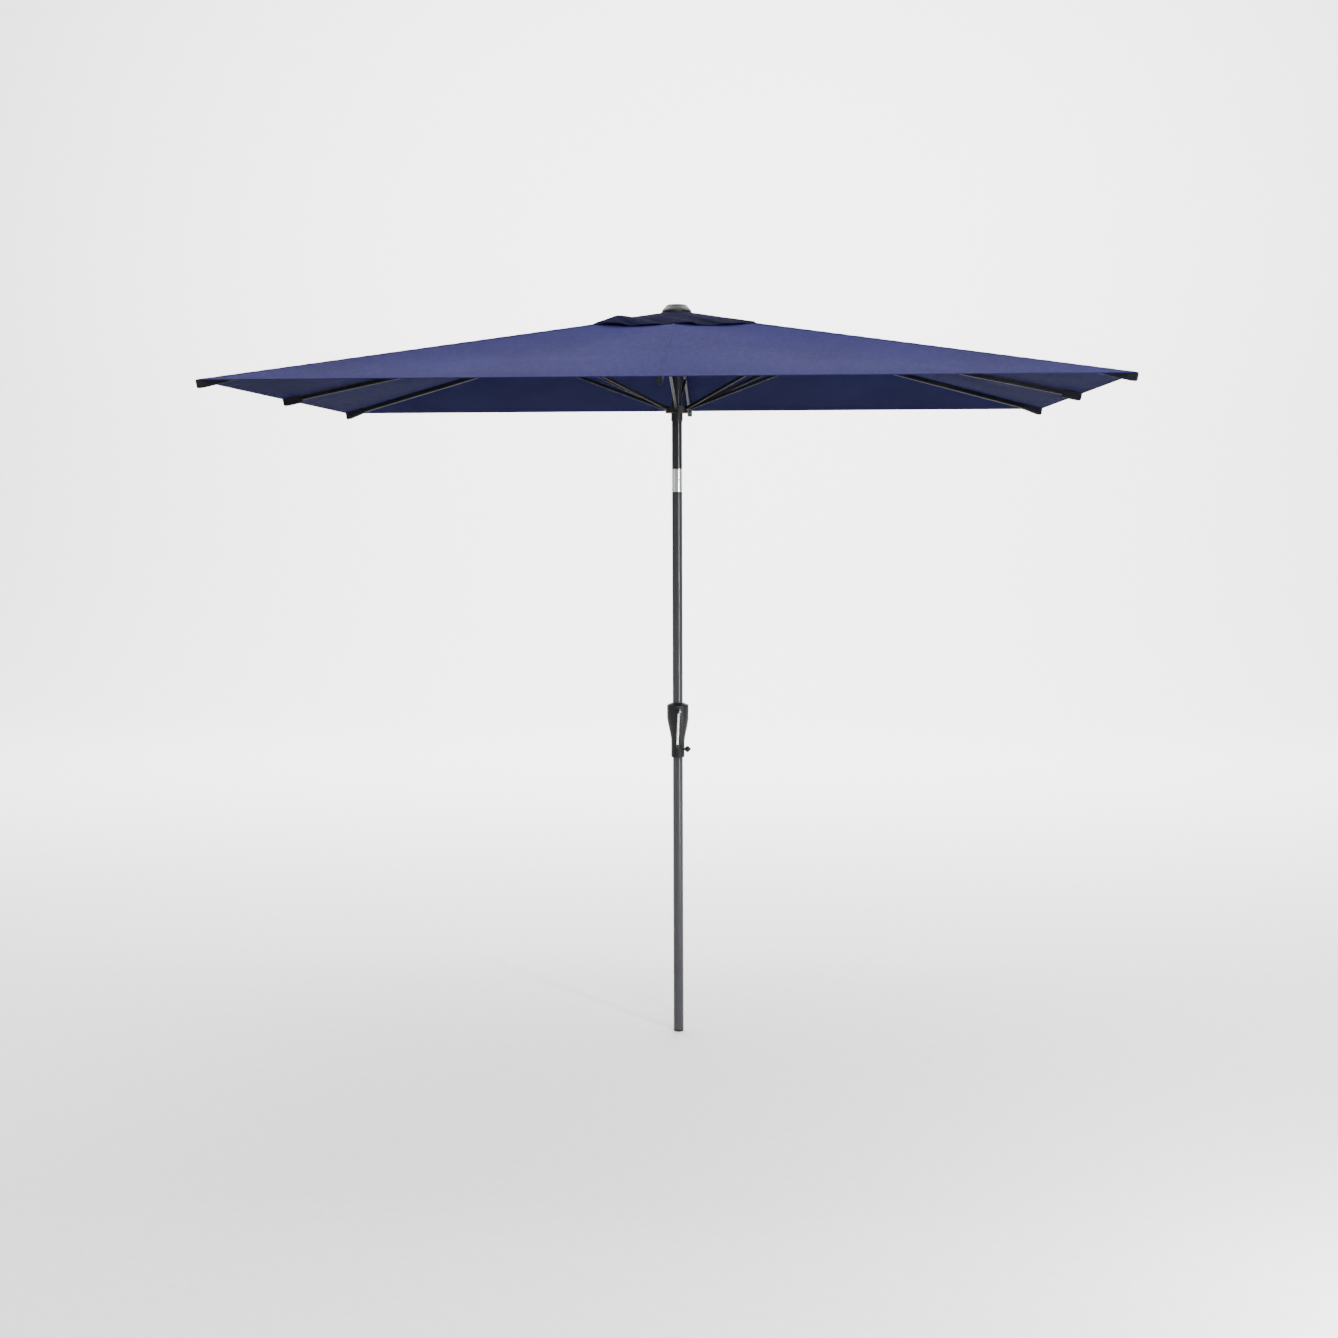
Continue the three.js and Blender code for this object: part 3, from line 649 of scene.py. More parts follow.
@dataclass(frozen=True)
class CanopyPlan:
    """The canopy's pyramid, taken from the boxes of its CAD shells."""

    fabric: float = 2 * MM
    vent_share: float = 0.15
    flap_share: float = 0.196
    sides: tuple[tuple[str, int, int], ...] = (
        ("right", 1, 0), ("back_right", 1, 1), ("back", 0, 1), ("back_left", -1, 1),
        ("left", -1, 0), ("front_left", -1, -1), ("front", 0, -1), ("front_right", 1, -1))

    @property
    def box(self) -> tuple[Vector, Vector]:
        """Lowest and highest corners of the canopy shell."""
        low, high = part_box("canopy")
        return Vector(low), Vector(high)

    @property
    def rim_z(self) -> float:
        """Height of the rim's top face."""
        return self.box[0].z + self.fabric

    @property
    def apex_z(self) -> float:
        """Height at which the slopes would meet over the pole."""
        return self.rim_z + (self.box[1].z - self.rim_z) / (1 - self.vent_share)

    def spokes(self) -> list[Spoke]:
        """Return the eight spokes, counter-clockwise from +X."""
        high = self.box[1]
        return [Spoke(side, Vector((high.x * x, high.y * y, self.rim_z)),
                      Vector(JOINTS[f"rib_{side}_fold"]["pos_m"])) for side, x, y in self.sides]


PLAN = CanopyPlan()
SPOKES = PLAN.spokes()
APEX = Vector((0, 0, PLAN.apex_z))


# ---------------------------------------------------------------- canopy and vent flap


@dataclass
class FoldingPanel:
    """Half of the cloth between two ribs: it goes with the nearer rib."""

    near: Spoke
    far: Spoke
    gathered: float = 0.075

    @property
    def turn(self) -> int:
        """1 if the far rib is counter-clockwise from the near one, else -1."""
        return 1 if self.near.edge.cross(self.far.edge).z > 0 else -1

    @property
    def label(self) -> str:
        """The panel's part of a piece's name."""
        return f"{self.near.side}_{'a' if self.turn > 0 else 'b'}"

    def face_axis(self) -> Vector:
        """Return the direction in the panel's plane, square to its rib."""
        spine = self.near.edge - APEX
        return spine.cross(self.far.edge - APEX).cross(spine).normalized()

    def cloth(self, name: str, mesh: Mesh, finish: Finish = Finish.CANOPY,
              replaces: Sequence[str] = ()) -> bpy.types.Object:
        """Make a piece of this panel's cloth that rides on the nearer rib.

        Args:
            name: The piece's name.
            mesh: Its shape at rest.
            finish: Its cloth.
            replaces: CAD nodes that it stands for.

        Returns:
            The piece.
        """
        obj = make(name, mesh, finish, self.near.body, replaces, 50)
        paint_underside_shade(obj)
        spine, across = (self.near.edge - APEX).normalized(), self.face_axis()
        declare_cloth(obj, spine, across)
        self.near.joint
        tuple(across)
        tuple(self.near.edge)
        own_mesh(obj)
        return obj


def panels_at(index: int) -> list[FoldingPanel]:
    """Return the two half panels that go with one rib."""
    return [FoldingPanel(SPOKES[index], SPOKES[(index + step) % len(SPOKES)]) for step in (1, -1)]


def paint_underside_shade(obj: bpy.types.Object) -> None:
    """Give the faces that look down the darker underside copy of the cloth, painted shade."""
    obj.data.materials.append(material(Finish.UNDERSIDE_PAINTED_SHADE))
    # painted shade: faces whose normal points down take the darker underside material
    for face in obj.data.polygons:
        if face.normal.z < 0:
            face.material_index = 1


def declare_cloth(obj: bpy.types.Object, spine: Vector, across: Vector) -> None:
    """Work out the widths and lengths of flat cuts round obj in its own plane, turned in steps; the sizes
    are not kept.

    Args:
        obj: The cloth, a thin closed mesh with two faces.
        spine: One direction in its plane.
        across: Another, square to it.
    """
    def cut_size(angle: float) -> tuple[float, float]:
        """Return the cut's width and length with its edges turned by angle."""
        ways = (across * math.cos(angle) + spine * math.sin(angle),
                spine * math.cos(angle) - across * math.sin(angle))
        reach = [[p.co.dot(way) for p in obj.data.vertices] for way in ways]
        width, length = (max(r) - min(r) for r in reach)
        return width, length

    cuts = [cut_size(math.pi * k / 60) for k in range(30)]


@dataclass
class Canopy:
    """The navy cloth: eight gores cut down their middles, hemmed, with taped seams."""

    cloth_up: float = 0.0
    cloth_down: float = 1.3 * MM
    sag: float = 13 * MM
    hem_width: float = 26 * MM
    tape_half: float = 6 * MM
    across_steps: int = 14
    along_steps: int = 64
    share: float = PLAN.vent_share

    def surface(self, near: Spoke, far: Spoke) -> Callable[[float, float], Vector]:
        """Return the cloth's surface between two ribs.

        Args:
            near: The rib at u = 0.
            far: The rib at u = 1.

        Returns:
            A function of u (0 to 1 from rib to rib) and v (0 at the apex, 1 at the rim).
        """
        span = (far.edge - near.edge).length

        def at(u: float, v: float) -> Vector:
            """Return the sagging cloth's point."""
            spot = APEX.lerp(near.edge.lerp(far.edge, u), v)
            across = math.sin(math.pi * u)
            down = self.sag * span * across * max(0.0, math.sin(math.pi * v)) ** 1.2
            crease = 0.9 * MM * noise.noise(Vector((spot.x * 9, spot.y * 9, 0.3)))
            pull = 1.6 * MM * math.sin(38 * u * span) * across * max(0.0, v - 0.72) * 2.0
            loose = min(1.0, 6 * across) * max(0.0, 1 - v**12)
            return spot - Vector((0, 0, down - (crease + pull) * loose))

        return at

    def build(self) -> None:
        """Make every gore, hem and seam tape."""
        for i, spoke in enumerate(SPOKES):
            for panel in panels_at(i):
                self.gore(panel)
                self.hem(panel)
            self.seam(spoke)

    def gore(self, panel: FoldingPanel) -> None:
        """Make one half gore."""
        mesh = patch(self.surface(panel.near, panel.far), (0, 0.5), (self.share, 1),
                     self.across_steps, self.along_steps, self.cloth_up, self.cloth_down)
        stands_for = ("canopy",) if panel.label == "right_a" else ()
        panel.cloth(f"canopy_gore_{panel.label}", mesh, replaces=stands_for)

    def hem(self, panel: FoldingPanel) -> None:
        """Make the doubled hem along the rim."""
        surface = self.surface(panel.near, panel.far)
        edge = panel.near.edge.lerp(panel.far.edge, 0.5)
        share = self.hem_width / (edge - APEX).length
        rim_band = patch(surface, (0, 0.5), (1 - share, 1 + share * 0.04), self.across_steps, 4,
                         0.7 * MM, self.cloth_down + 0.7 * MM)
        panel.cloth(f"canopy_hem_{panel.label}", rim_band, Finish.TAPE)

    def seam(self, spoke: Spoke) -> None:
        """Make the folded seam tape over one rib."""
        spine = spoke.edge - APEX
        side = Vector((-spine.y, spine.x, 0)).normalized()

        def at(u: float, v: float) -> Vector:
            """Return the tape's point, u across it and v along the rib."""
            spot = APEX.lerp(spoke.edge, v) + side * (u - 0.5) * 2 * self.tape_half
            ridge = self.ridge_drop(spoke, (u - 0.5) * 2 * self.tape_half)
            pucker = 0.35 * MM * math.sin(v * spine.length / (11 * MM))
            return spot - Vector((0, 0, ridge - pucker))

        mesh = patch(at, (0, 1), (self.share, 1.0), 6, 120, 0.8 * MM, 0.6 * MM)
        tape = make(f"seam_tape_{spoke.side}", mesh, Finish.TAPE, spoke.body, (), 50)
        declare_cloth(tape, spine.normalized(), side)

    def ridge_drop(self, spoke: Spoke, offset: float) -> float:
        """Return how far the cloth falls away from a rib's line at a sideways offset."""
        index = SPOKES.index(spoke)
        other = SPOKES[(index + (1 if offset > 0 else -1)) % len(SPOKES)]
        panel = FoldingPanel(spoke, other)
        axis = panel.face_axis()
        level = math.hypot(axis.x, axis.y)
        return abs(offset) * max(0.0, -axis.z / level)


@dataclass
class VentFlap:
    """The small upper canopy: it is clamped under the finial and ripples over the vent."""

    collar_r: float = 0.056
    crown_share: float = 0.14
    ripple: float = 3.0 * MM
    pucker: float = 20 * MM
    edge_raise: float = 4.2 * MM
    follow_sag: float = 5.5 * MM
    band_share: float = 0.07
    bump_at: tuple[float, float] = (-0.205, -0.13)
    bump_reach: float = 0.05

    def surface(self, near: Spoke, far: Spoke) -> Callable[[float, float], Vector]:
        """Return the flap's surface between two ribs, v from the collar to the edge."""
        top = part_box("vent_flap")[1][2]
        span = (far.edge - near.edge).length

        def at(u: float, v: float) -> Vector:
            """Return the rippled flap's point."""
            rim_spot = near.edge.lerp(far.edge, u)
            out = Vector((rim_spot.x, rim_spot.y, 0)).normalized()
            inner = out * self.collar_r + Vector((0, 0, top))
            outer = APEX.lerp(rim_spot, PLAN.flap_share) + Vector((0, 0, self.edge_raise))
            spot = inner.lerp(outer, v)
            round_about = 46 * spot.x + 71 * spot.y
            wave = self.ripple * math.sin(round_about) + 1.2 * MM * math.sin(2.3 * round_about + 1)
            wave += 4.5 * MM * noise.noise(Vector((spot.x * 11, spot.y * 11, 2.2)))
            wave = max(wave, 0.9 * MM - self.edge_raise)
            wave -= self.follow_sag * span * math.sin(math.pi * u)
            bulge = 4 * MM * math.sin(math.pi * v) * math.sin(math.pi * u)
            away = (spot.xy - Vector(self.bump_at)).length / self.bump_reach
            bump = self.pucker * math.exp(-away * away)
            return spot + Vector((0, 0, wave * v * v + bulge + bump * v))

        return at

    def build(self) -> None:
        """Make the collar, the crown round it and the halves with their bindings."""
        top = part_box("vent_flap")[1][2]
        hole, reach, under = 9.5 * MM, 57.5 * MM, top - 1.4 * MM
        ring = turned([(hole, under), (reach, under), (reach, top), (hole, top)], 64)
        collar = make("flap_collar", ring, Finish.FLAP_PAINTED_SHADE, "upper_mast", ("vent_flap",))
        declare_cloth(collar, Vector((0, 1, 0)), Vector((1, 0, 0)))
        for i, spoke in enumerate(SPOKES):
            for panel in panels_at(i):
                self.half(panel)
            self.crown(spoke, SPOKES[i - 1], SPOKES[(i + 1) % len(SPOKES)])

    def crown(self, spoke: Spoke, before: Spoke, after: Spoke) -> None:
        """Make the inner patch over one rib, out from the collar; it is fastened to no body."""
        left, right = self.surface(spoke, before), self.surface(spoke, after)

        def at(u: float, v: float) -> Vector:
            """Return the point on either side of the rib, u from -0.5 to 0.5."""
            return right(u, v) if u > 0 else left(-u, v)

        mesh = patch(at, (-0.5, 0.5), (0, self.crown_share), 16, 6, 0, 1.3 * MM)
        obj = make(f"flap_crown_{spoke.side}", mesh, Finish.FLAP_PAINTED_SHADE, "", (), 50)
        paint_underside_shade(obj)
        out = Vector((math.cos(spoke.azimuth), math.sin(spoke.azimuth), 0))
        declare_cloth(obj, out, Vector((-out.y, out.x, 0)))
        start, end = out * self.collar_r * 0.9, right(0, self.crown_share)
        spoke.body
        tuple(end)
        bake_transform(obj)

    def half(self, panel: FoldingPanel) -> None:
        """Make one half of the cloth between two ribs, and the binding on its edge."""
        surface = self.surface(panel.near, panel.far)
        mesh = patch(surface, (0, 0.5), (self.crown_share, 1), 16, 22, 0, 1.3 * MM)
        panel.cloth(f"flap_gore_{panel.label}", mesh, Finish.FLAP_PAINTED_SHADE)
        band = patch(surface, (0, 0.5), (1 - self.band_share, 1.004), 16, 4, 0.9 * MM, 2.2 * MM)
        panel.cloth(f"flap_binding_{panel.label}", band, Finish.FLAP_PAINTED_SHADE)


@dataclass
class TipPockets:
    """Webbing pockets sewn under the rim that hold the rib ends."""

    length: float = 66 * MM
    corner_length: float = 100 * MM
    height: float = 27 * MM
    half_width: float = 7.6 * MM
    cloth: float = 1.4 * MM

    def build(self) -> None:
        """Make the eight pockets."""
        for spoke in SPOKES:
            self.pocket(spoke)

    def pocket(self, spoke: Spoke) -> None:
        """Make one pocket, a strip folded up round the rib's end and closed at the tip."""
        spine = (spoke.edge - APEX).normalized()
        side = Vector((-spine.y, spine.x, 0)).normalized()
        up = spine.cross(side)
        up = up if up.z > 0 else -up
        tip = spoke.edge - spine * 1 * MM - up * 2 * MM
        at_corner = "_" in spoke.side
        length = self.corner_length if at_corner else self.length
        taper = 0.34 if at_corner else 0.08
        corner = 5 * MM
        outline = [(-self.half_width, 0.0), (-self.half_width, corner - self.height)]
        inset, drop = corner - self.half_width, corner - self.height
        outline += [(inset - corner * math.cos(a), drop - corner * math.sin(a))
                    for a in (math.pi / 2 * k / 5 for k in range(1, 6))]
        outline += [(-x, z) for x, z in reversed(outline)]

        def at(u: float, v: float) -> Vector:
            """Return the pocket's point, u round its outline and v from the tip inwards."""
            place = u * (len(outline) - 1)
            k = min(int(place), len(outline) - 2)
            x, z = (a + (b - a) * (place - k) for a, b in zip(outline[k], outline[k + 1]))
            slack = 1 - 0.12 * math.exp(-v * length / (8 * MM)) - taper * v
            soft = 0.8 * MM * noise.noise(Vector((v * 6, u * 5, spoke.azimuth)))
            return tip - spine * v * length + side * (x * (1 + 0.1 * slack) + soft) + up * z * slack

        strip = shell_of(at, 30, 18, self.cloth)
        end = [at(k / 30, 0) for k in range(31)]
        middle = sum(end, Vector()) / len(end)
        cap_points = [p.lerp(middle, 0.02) for p in end]
        cap = prism(cap_points, spine * self.cloth)
        obj = make(f"tip_pocket_cloth_{spoke.side}", joined(strip, cap), Finish.POCKET, spoke.body,
                   (f"tip_pocket_{spoke.side}",), 50)


def shell_of(surface: Callable[[float, float], Vector], nu: int, nv: int, thick: float) -> Mesh:
    """Make a thin closed sheet that keeps its thickness on a folded surface."""
    def normal(u: float, v: float) -> Vector:
        """Return the surface's unit normal."""
        step = 0.004
        a = surface(min(u + step, 1), v) - surface(max(u - step, 0), v)
        b = surface(u, min(v + step, 1)) - surface(u, max(v - step, 0))
        return a.cross(b).normalized()

    flat = patch(surface, (0, 1), (0, 1), nu, nv, 0, 0)
    half = len(flat[0]) // 2
    points = list(flat[0])
    for i in range(nu + 1):
        for k in range(nv + 1):
            at = i * (nv + 1) + k
            points[half + at] = points[at] - normal(i / nu, k / nv) * thick
    return points, flat[1]


# ---------------------------------------------------------------- pole, tilt joint and head


@dataclass
class Pole:
    """The steel pole: two stages below the tilt joint and one above, and the foot plug."""

    radius: float = 19 * MM
    wall: float = 1.5 * MM

    def build(self) -> None:
        """Make the stages and the plug."""
        for node, body, finish in (("lower_pole", "lower_mast", Finish.POLE),
                                   ("middle_pole", "lower_mast", Finish.POLE),
                                   ("upper_pole", "upper_mast", Finish.MAST)):
            low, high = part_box(node)
            profile = rim(self.radius - self.wall, self.radius, low[2], high[2], 0.4 * MM)
            tube_mesh = turned(profile, 96)
            obj = make(f"{node}_tube", tube_mesh, finish, body, (node,))
            if node == "upper_pole":
                self.open_pulley_slot(obj)
        self.plug()

    def open_pulley_slot(self, obj: bpy.types.Object) -> None:
        """Cut the slot that the pulley stands out of."""
        wheel_low, wheel_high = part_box("lift_pulley")
        slot = block((0, -4.4 * MM, wheel_low[2] - 4 * MM), (0.03, 4.4 * MM, wheel_high[2] + 30 * MM))
        middle = JOINTS["pulley_spin"]["pos_m"]
        cut(obj, moved(slot, Matrix.Rotation(math.atan2(middle[1], middle[0]), 4, "Z")), "DIFFERENCE")

    def plug(self) -> None:
        """Make the rounded foot plug."""
        low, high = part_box("foot_plug")
        r = self.radius
        outside = [(15 * MM, 0), (17.2 * MM, 0.6 * MM), (18.5 * MM, 2.2 * MM), (r, 4.4 * MM), (r, 6 * MM),
                   (r - 1.8 * MM, 6 * MM), (r - 1.8 * MM, high[2]), (r - 4 * MM, high[2]),
                   (r - 4 * MM, 3 * MM), (1e-5, 3 * MM), (1e-5, low[2])]
        make("foot_plug_cap", turned(outside, 96), Finish.HOUSING, "lower_mast", ("foot_plug",))


@dataclass
class TiltJoint:
    """The chrome tilt joint: a forked sleeve below and a sleeve with a tongue above."""

    radius: float = 19.2 * MM
    spigot_r: float = 17.2 * MM
    fork_top: float = 15.2 * MM
    slot_half: float = 7.3 * MM
    tongue_half: float = 7 * MM
    tongue_r: float = 12 * MM
    max_tilt: float = math.radians(35)

    @property
    def pivot(self) -> Vector:
        """The tilt pin's middle."""
        return Vector(JOINTS["tilt"]["pos_m"])

    def build(self) -> None:
        """Make both sleeves and the pin's heads."""
        self.lower()
        self.upper()
        self.button()
        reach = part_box("tilt_pin")[1][0]
        for name, side in (("left", -1), ("right", 1)):
            head = along(self.pivot + Vector((side * (reach - 0.4 * MM), 0, 0)),
                         self.pivot + Vector((side, 0, 0)), dome(3.4 * MM, 0.7 * MM))
            make(f"tilt_pin_head_{name}", head, Finish.STEEL, "lower_mast")

    def lower(self) -> None:
        """Make the forked sleeve, cut so that the upper one can lean back over it."""
        low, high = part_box("tilt_lower_knuckle")
        shoulder = self.pivot.z - 28 * MM
        body = [(1e-5, low[2]), (self.spigot_r, low[2]), (self.spigot_r, shoulder),
                (self.radius - 0.7 * MM, shoulder), (self.radius, shoulder + 0.7 * MM),
                (self.radius, high[2] + 5 * MM), (1e-5, high[2] + 5 * MM)]
        obj = make("tilt_sleeve_lower", turned(body, 128), Finish.CHROME, "lower_mast",
                   ("tilt_lower_knuckle",))
        cut(obj, self.clearance(), "INTERSECT")
        slot_floor = self.pivot.z - self.tongue_r - 0.6 * MM
        slot = block((-self.slot_half, -self.tongue_r - 0.6 * MM, slot_floor), (self.slot_half, 0.04, 2.2))
        cut(obj, slot, "DIFFERENCE")
        button = Vector(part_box("tilt_button")[0]) * 0.5 + Vector(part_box("tilt_button")[1]) * 0.5
        bore = along(Vector((-0.03, 0, button.z)), Vector((0, 0, button.z)),
                     [(1e-5, 0), (4.8 * MM, 0), (4.8 * MM, 0.0234), (1e-5, 0.0234)])
        cut(obj, bore, "DIFFERENCE")

    def clearance(self) -> Mesh:
        """Return the prism that the lower sleeve is trimmed to: flat, round, then sloped."""
        reach, low = 40 * MM, -0.09
        section = [(-reach, low), (-reach, self.fork_top), (0.0, self.fork_top)]
        section += [(self.fork_top * math.sin(a), self.fork_top * math.cos(a))
                    for a in (self.max_tilt * k / 8 for k in range(1, 9))]
        slope_y = self.fork_top * math.sin(self.max_tilt) + reach * math.cos(self.max_tilt)
        slope_z = self.fork_top * math.cos(self.max_tilt) - reach * math.sin(self.max_tilt)
        section += [(slope_y, slope_z), (slope_y, low)]
        half_width = 30 * MM
        outline = [Vector((-half_width, y, self.pivot.z + z)) for y, z in section]
        return prism(outline, Vector((2 * half_width, 0, 0)))

    def upper(self) -> None:
        """Make the upper sleeve with its spigot and tongue."""
        low = self.pivot.z + self.fork_top + 0.3 * MM
        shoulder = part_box("upper_pole")[0][2] - 0.3 * MM
        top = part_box("tilt_upper_knuckle")[1][2]
        body = [(1e-5, low), (self.radius - 0.5 * MM, low), (self.radius, low + 0.5 * MM),
                (self.radius, shoulder - 0.7 * MM), (self.radius - 0.7 * MM, shoulder),
                (self.spigot_r, shoulder), (self.spigot_r, top), (1e-5, top)]
        obj = make("tilt_sleeve_upper", turned(body, 128), Finish.CHROME, "upper_mast",
                   ("tilt_upper_knuckle",))
        half, r = self.tongue_half, self.tongue_r
        neck = block((-half, -r, self.pivot.z), (half, r, low + 5 * MM))
        cut(obj, neck, "UNION")
        nose = along(self.pivot - Vector((half, 0, 0)), self.pivot + Vector((half, 0, 0)),
                     [(1e-5, 0), (r, 0), (r, 2 * half), (1e-5, 2 * half)], 48)
        cut(obj, nose, "UNION")

    def button(self) -> None:
        """Make the round push button with its thumb dish."""
        low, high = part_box("tilt_button")
        start = Vector((high[0], 0, (low[2] + high[2]) / 2))
        end = Vector((low[0], 0, start.z))
        length = (end - start).length
        profile = [(1e-5, 0), (4.5 * MM, 0), (4.5 * MM, length - 0.9 * MM), (4.1 * MM, length - 0.3 * MM),
                   (3.4 * MM, length), (2.4 * MM, length - 0.25 * MM), (1e-5, length - 0.45 * MM)]
        make("tilt_button_cap", along(start, end, profile, 40), Finish.HOUSING, "button",
             ("tilt_button",))


@dataclass
class Head:
    """The finial on top, and the cord from the pulley down to the runner."""

    dome_r: float = 54 * MM

    def build(self) -> None:
        """Make the finial and the cord."""
        low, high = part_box("finial")
        base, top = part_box("finial_seat")[1][2] + 0.3 * MM, high[2]
        outline = [(53.2, 0), (54, 0.8), (54, 2.6), (53.2, 5.4), (50.6, 9.4), (47.2, 13.2), (43.6, 16.8),
                   (40.6, 20.2), (38.8, 22.6), (37.6, 22.7), (37, 24.2), (35.4, 26), (31, 27), (19, 27.5),
                   (9, 27.65), (0.01, 27.7)]
        grow = (top - base) / (27.7 * MM)
        profile = [(1e-5, low[2]), (6 * MM, low[2]), (6 * MM, base)]
        profile += [(r * self.dome_r / 54, base + z * MM * grow) for r, z in outline]
        make("finial_dome", turned(profile, 96), Finish.GLOSS, "upper_mast", ("finial",))
        self.cord()

    def cord(self) -> None:
        """Make the outer run of the lift cord, the part that pays out as the runner comes down, as a
        straight tube fastened to no body.
        """
        low, high = (Vector(v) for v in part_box("lift_cord_run"))
        middle = (low + high) / 2
        path = [Vector((middle.x, middle.y, low.z + (high.z - low.z) * k / 24)) for k in range(25)]
        obj = make("lift_cord_outer", tube(path, 1.5 * MM, 12), Finish.CORD, "", ("lift_cord_run",))
        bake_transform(obj)


# ---------------------------------------------------------------- crank


@dataclass
class Crank:
    """The crank housing with its drum and sleeve, the bent crank rod and the knob."""

    drum_r: float = 40 * MM
    sleeve_r: float = 25 * MM
    bore: float = 19.3 * MM
    rod_r: float = 3.4 * MM
    gap: float = 0.3 * MM

    @property
    def turn(self) -> float:
        """How far the crank's shaft is turned from -Y towards +X."""
        axis = JOINTS["crank_spin"]["axis"]
        return math.atan2(axis[0], -axis[1])

    @property
    def shaft(self) -> Vector:
        """Where the shaft's line crosses the pole's."""
        return Vector(JOINTS["crank_spin"]["pos_m"])

    def local(self, x: float, out: float, z: float) -> Vector:
        """Return the place x to the right, out from the pole and z up, seen facing the crank."""
        turned_about = Matrix.Rotation(self.turn, 3, "Z")
        return turned_about @ Vector((x, -out, 0)) + Vector((0, 0, z))

    def build(self) -> None:
        """Make the housing, the rod and the knob."""
        self.housing()
        self.rod()
        self.knob()

    def housing(self) -> None:
        """Make the two housing shells and the shaft's boss."""
        low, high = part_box("crank_housing_front")
        bottom, top = low[2], high[2]
        shoulder = bottom + 195 * MM
        rim_line = [(self.bore, 0), (self.sleeve_r - 3 * MM, 0), (self.sleeve_r - 0.6 * MM, 1.4 * MM),
                    (self.sleeve_r, 4 * MM), (self.sleeve_r, 9 * MM), (self.sleeve_r - 0.7 * MM, 9.7 * MM),
                    (self.sleeve_r, 10.4 * MM)]
        outside = [(r, bottom + z) for r, z in rim_line]
        steps = 22
        outside += [(self.sleeve_r, bottom + (46 + 108 * k / steps) * MM) for k in range(steps + 1)]
        outside += [(self.drum_r, shoulder - 36 * MM), (self.drum_r - 0.8 * MM, shoulder - 35 * MM),
                    (self.drum_r, shoulder - 34 * MM), (self.drum_r, shoulder - 3 * MM),
                    (self.drum_r - 0.5 * MM, shoulder - 1.2 * MM),
                    (self.drum_r - 2 * MM, shoulder + 0.2 * MM),
                    (self.bore + 4 * MM, top - 0.4 * MM), (self.bore + 2 * MM, top), (self.bore, top)]
        outside += [(self.bore, top - 3 * MM), (self.drum_r - 3 * MM, shoulder - 3 * MM),
                    (self.drum_r - 3 * MM, bottom + 155 * MM), (self.sleeve_r + 4 * MM, bottom + 118 * MM),
                    (self.bore, bottom + 100 * MM)]
        front = Vector((math.sin(self.turn), -math.cos(self.turn), 0))

        def belly(point: Vector) -> Vector:
            """Widen the sleeve towards the drum, sooner on the crank's side."""
            flat = Vector((point.x, point.y, 0))
            if abs(flat.length - self.sleeve_r) > 1e-5:
                return point
            facing = flat.normalized().dot(front)
            side = min(1.0, max(0.0, (facing + 0.25) / 0.5))
            begin = bottom + (84 - 36 * side * side * (3 - 2 * side)) * MM
            t = min(1.0, max(0.0, (point.z - begin) / (bottom + 154 * MM - begin)))
            wide = self.sleeve_r + (self.drum_r - self.sleeve_r) * t * t * (3 - 2 * t)
            return flat.normalized() * wide + Vector((0, 0, point.z))

        seam = 0.25 * MM / self.drum_r
        for name, start in (("front", math.pi), ("rear", 0.0)):
            node = f"crank_housing_{name}"
            points, faces = turned(outside, 64, start + self.turn + seam, math.pi - 2 * seam)
            mesh = [belly(p) for p in points], faces
            obj = make(f"crank_shell_{name}", mesh, Finish.HOUSING, "lower_mast", (node,), 28)
            if name == "front":
                hole = along(self.local(0, 0.06, self.shaft.z), self.local(0, 0.01, self.shaft.z),
                             [(1e-5, 0), (4.9 * MM, 0), (4.9 * MM, 0.05), (1e-5, 0.05)])
                cut(obj, hole, "DIFFERENCE")
        boss = along(self.local(0, 0.036, self.shaft.z), self.local(0, 0.05, self.shaft.z),
                     rim(4.9 * MM, 9.5 * MM, 0, 7 * MM, 1.2 * MM), 48)
        make("crank_boss", boss, Finish.HOUSING, "lower_mast")

    def rod(self) -> None:
        """Make the bent rod with its hub on the shaft and the eye that carries the knob."""
        plane = 50 * MM
        hinge = Vector(JOINTS["knob_fold"]["pos_m"])
        z0, z1 = self.shaft.z, hinge.z
        corners = [self.local(1 * MM, plane, z0 + 8 * MM), self.local(-5 * MM, plane, z0 - 12 * MM),
                   self.local(-9.2 * MM, plane, z1 + 17 * MM), self.local(-7 * MM, plane, z1 + 10 * MM)]
        path = smooth_path(corners, 7 * MM)
        elbow = smooth_path([self.local(-9.2 * MM, plane, z1 + 17 * MM),
                             self.local(-8 * MM, plane, z1 + 6 * MM),
                             self.local(3 * MM, plane, z1 + 0.5 * MM)], 5 * MM)
        hub = along(self.local(0, plane - 5 * MM, z0), self.local(0, plane + 5 * MM, z0),
                    [(1e-5, 0), (6.2 * MM, 0), (7 * MM, 0.8 * MM), (7 * MM, 9 * MM),
                     (6 * MM, 10 * MM), (1e-5, 10.2 * MM)], 48)
        place = Matrix.Translation(hinge) @ Matrix.Rotation(self.turn, 4, "Z")
        disc = [(1e-5, 0), (4.6 * MM, 0), (5 * MM, 0.4 * MM), (5 * MM, 2.6 * MM), (4.6 * MM, 3 * MM),
                (1e-5, 3 * MM)]
        cheeks = []
        for height in (3.5 * MM, -6.5 * MM):
            low = hinge + Vector((0, 0, height))
            cheeks.append(along(low, low + Vector((0, 0, 1)), disc, 36))
            edge = block((-8.5 * MM, -4 * MM, height), (0, 4 * MM, height + 3 * MM))
            cheeks.append(moved(edge, place))
        back = block((-9 * MM, -4 * MM, -6.5 * MM), (-5.7 * MM, 4 * MM, 6.5 * MM))
        cheeks.append(moved(back, place))
        make("crank_rod", tube(path, self.rod_r, 24), Finish.ROD, "crank", ("crank_arm",))
        make("crank_hub", hub, Finish.HOUSING, "crank")
        make("crank_yoke", joined(tube(elbow, 4.9 * MM, 24), *cheeks), Finish.HOUSING, "crank")
        cap = along(self.local(0, plane + 5 * MM, z0), self.local(0, plane + 1, z0), dome(4 * MM, 1.6 * MM))
        make("crank_nut", cap, Finish.STEEL, "crank")

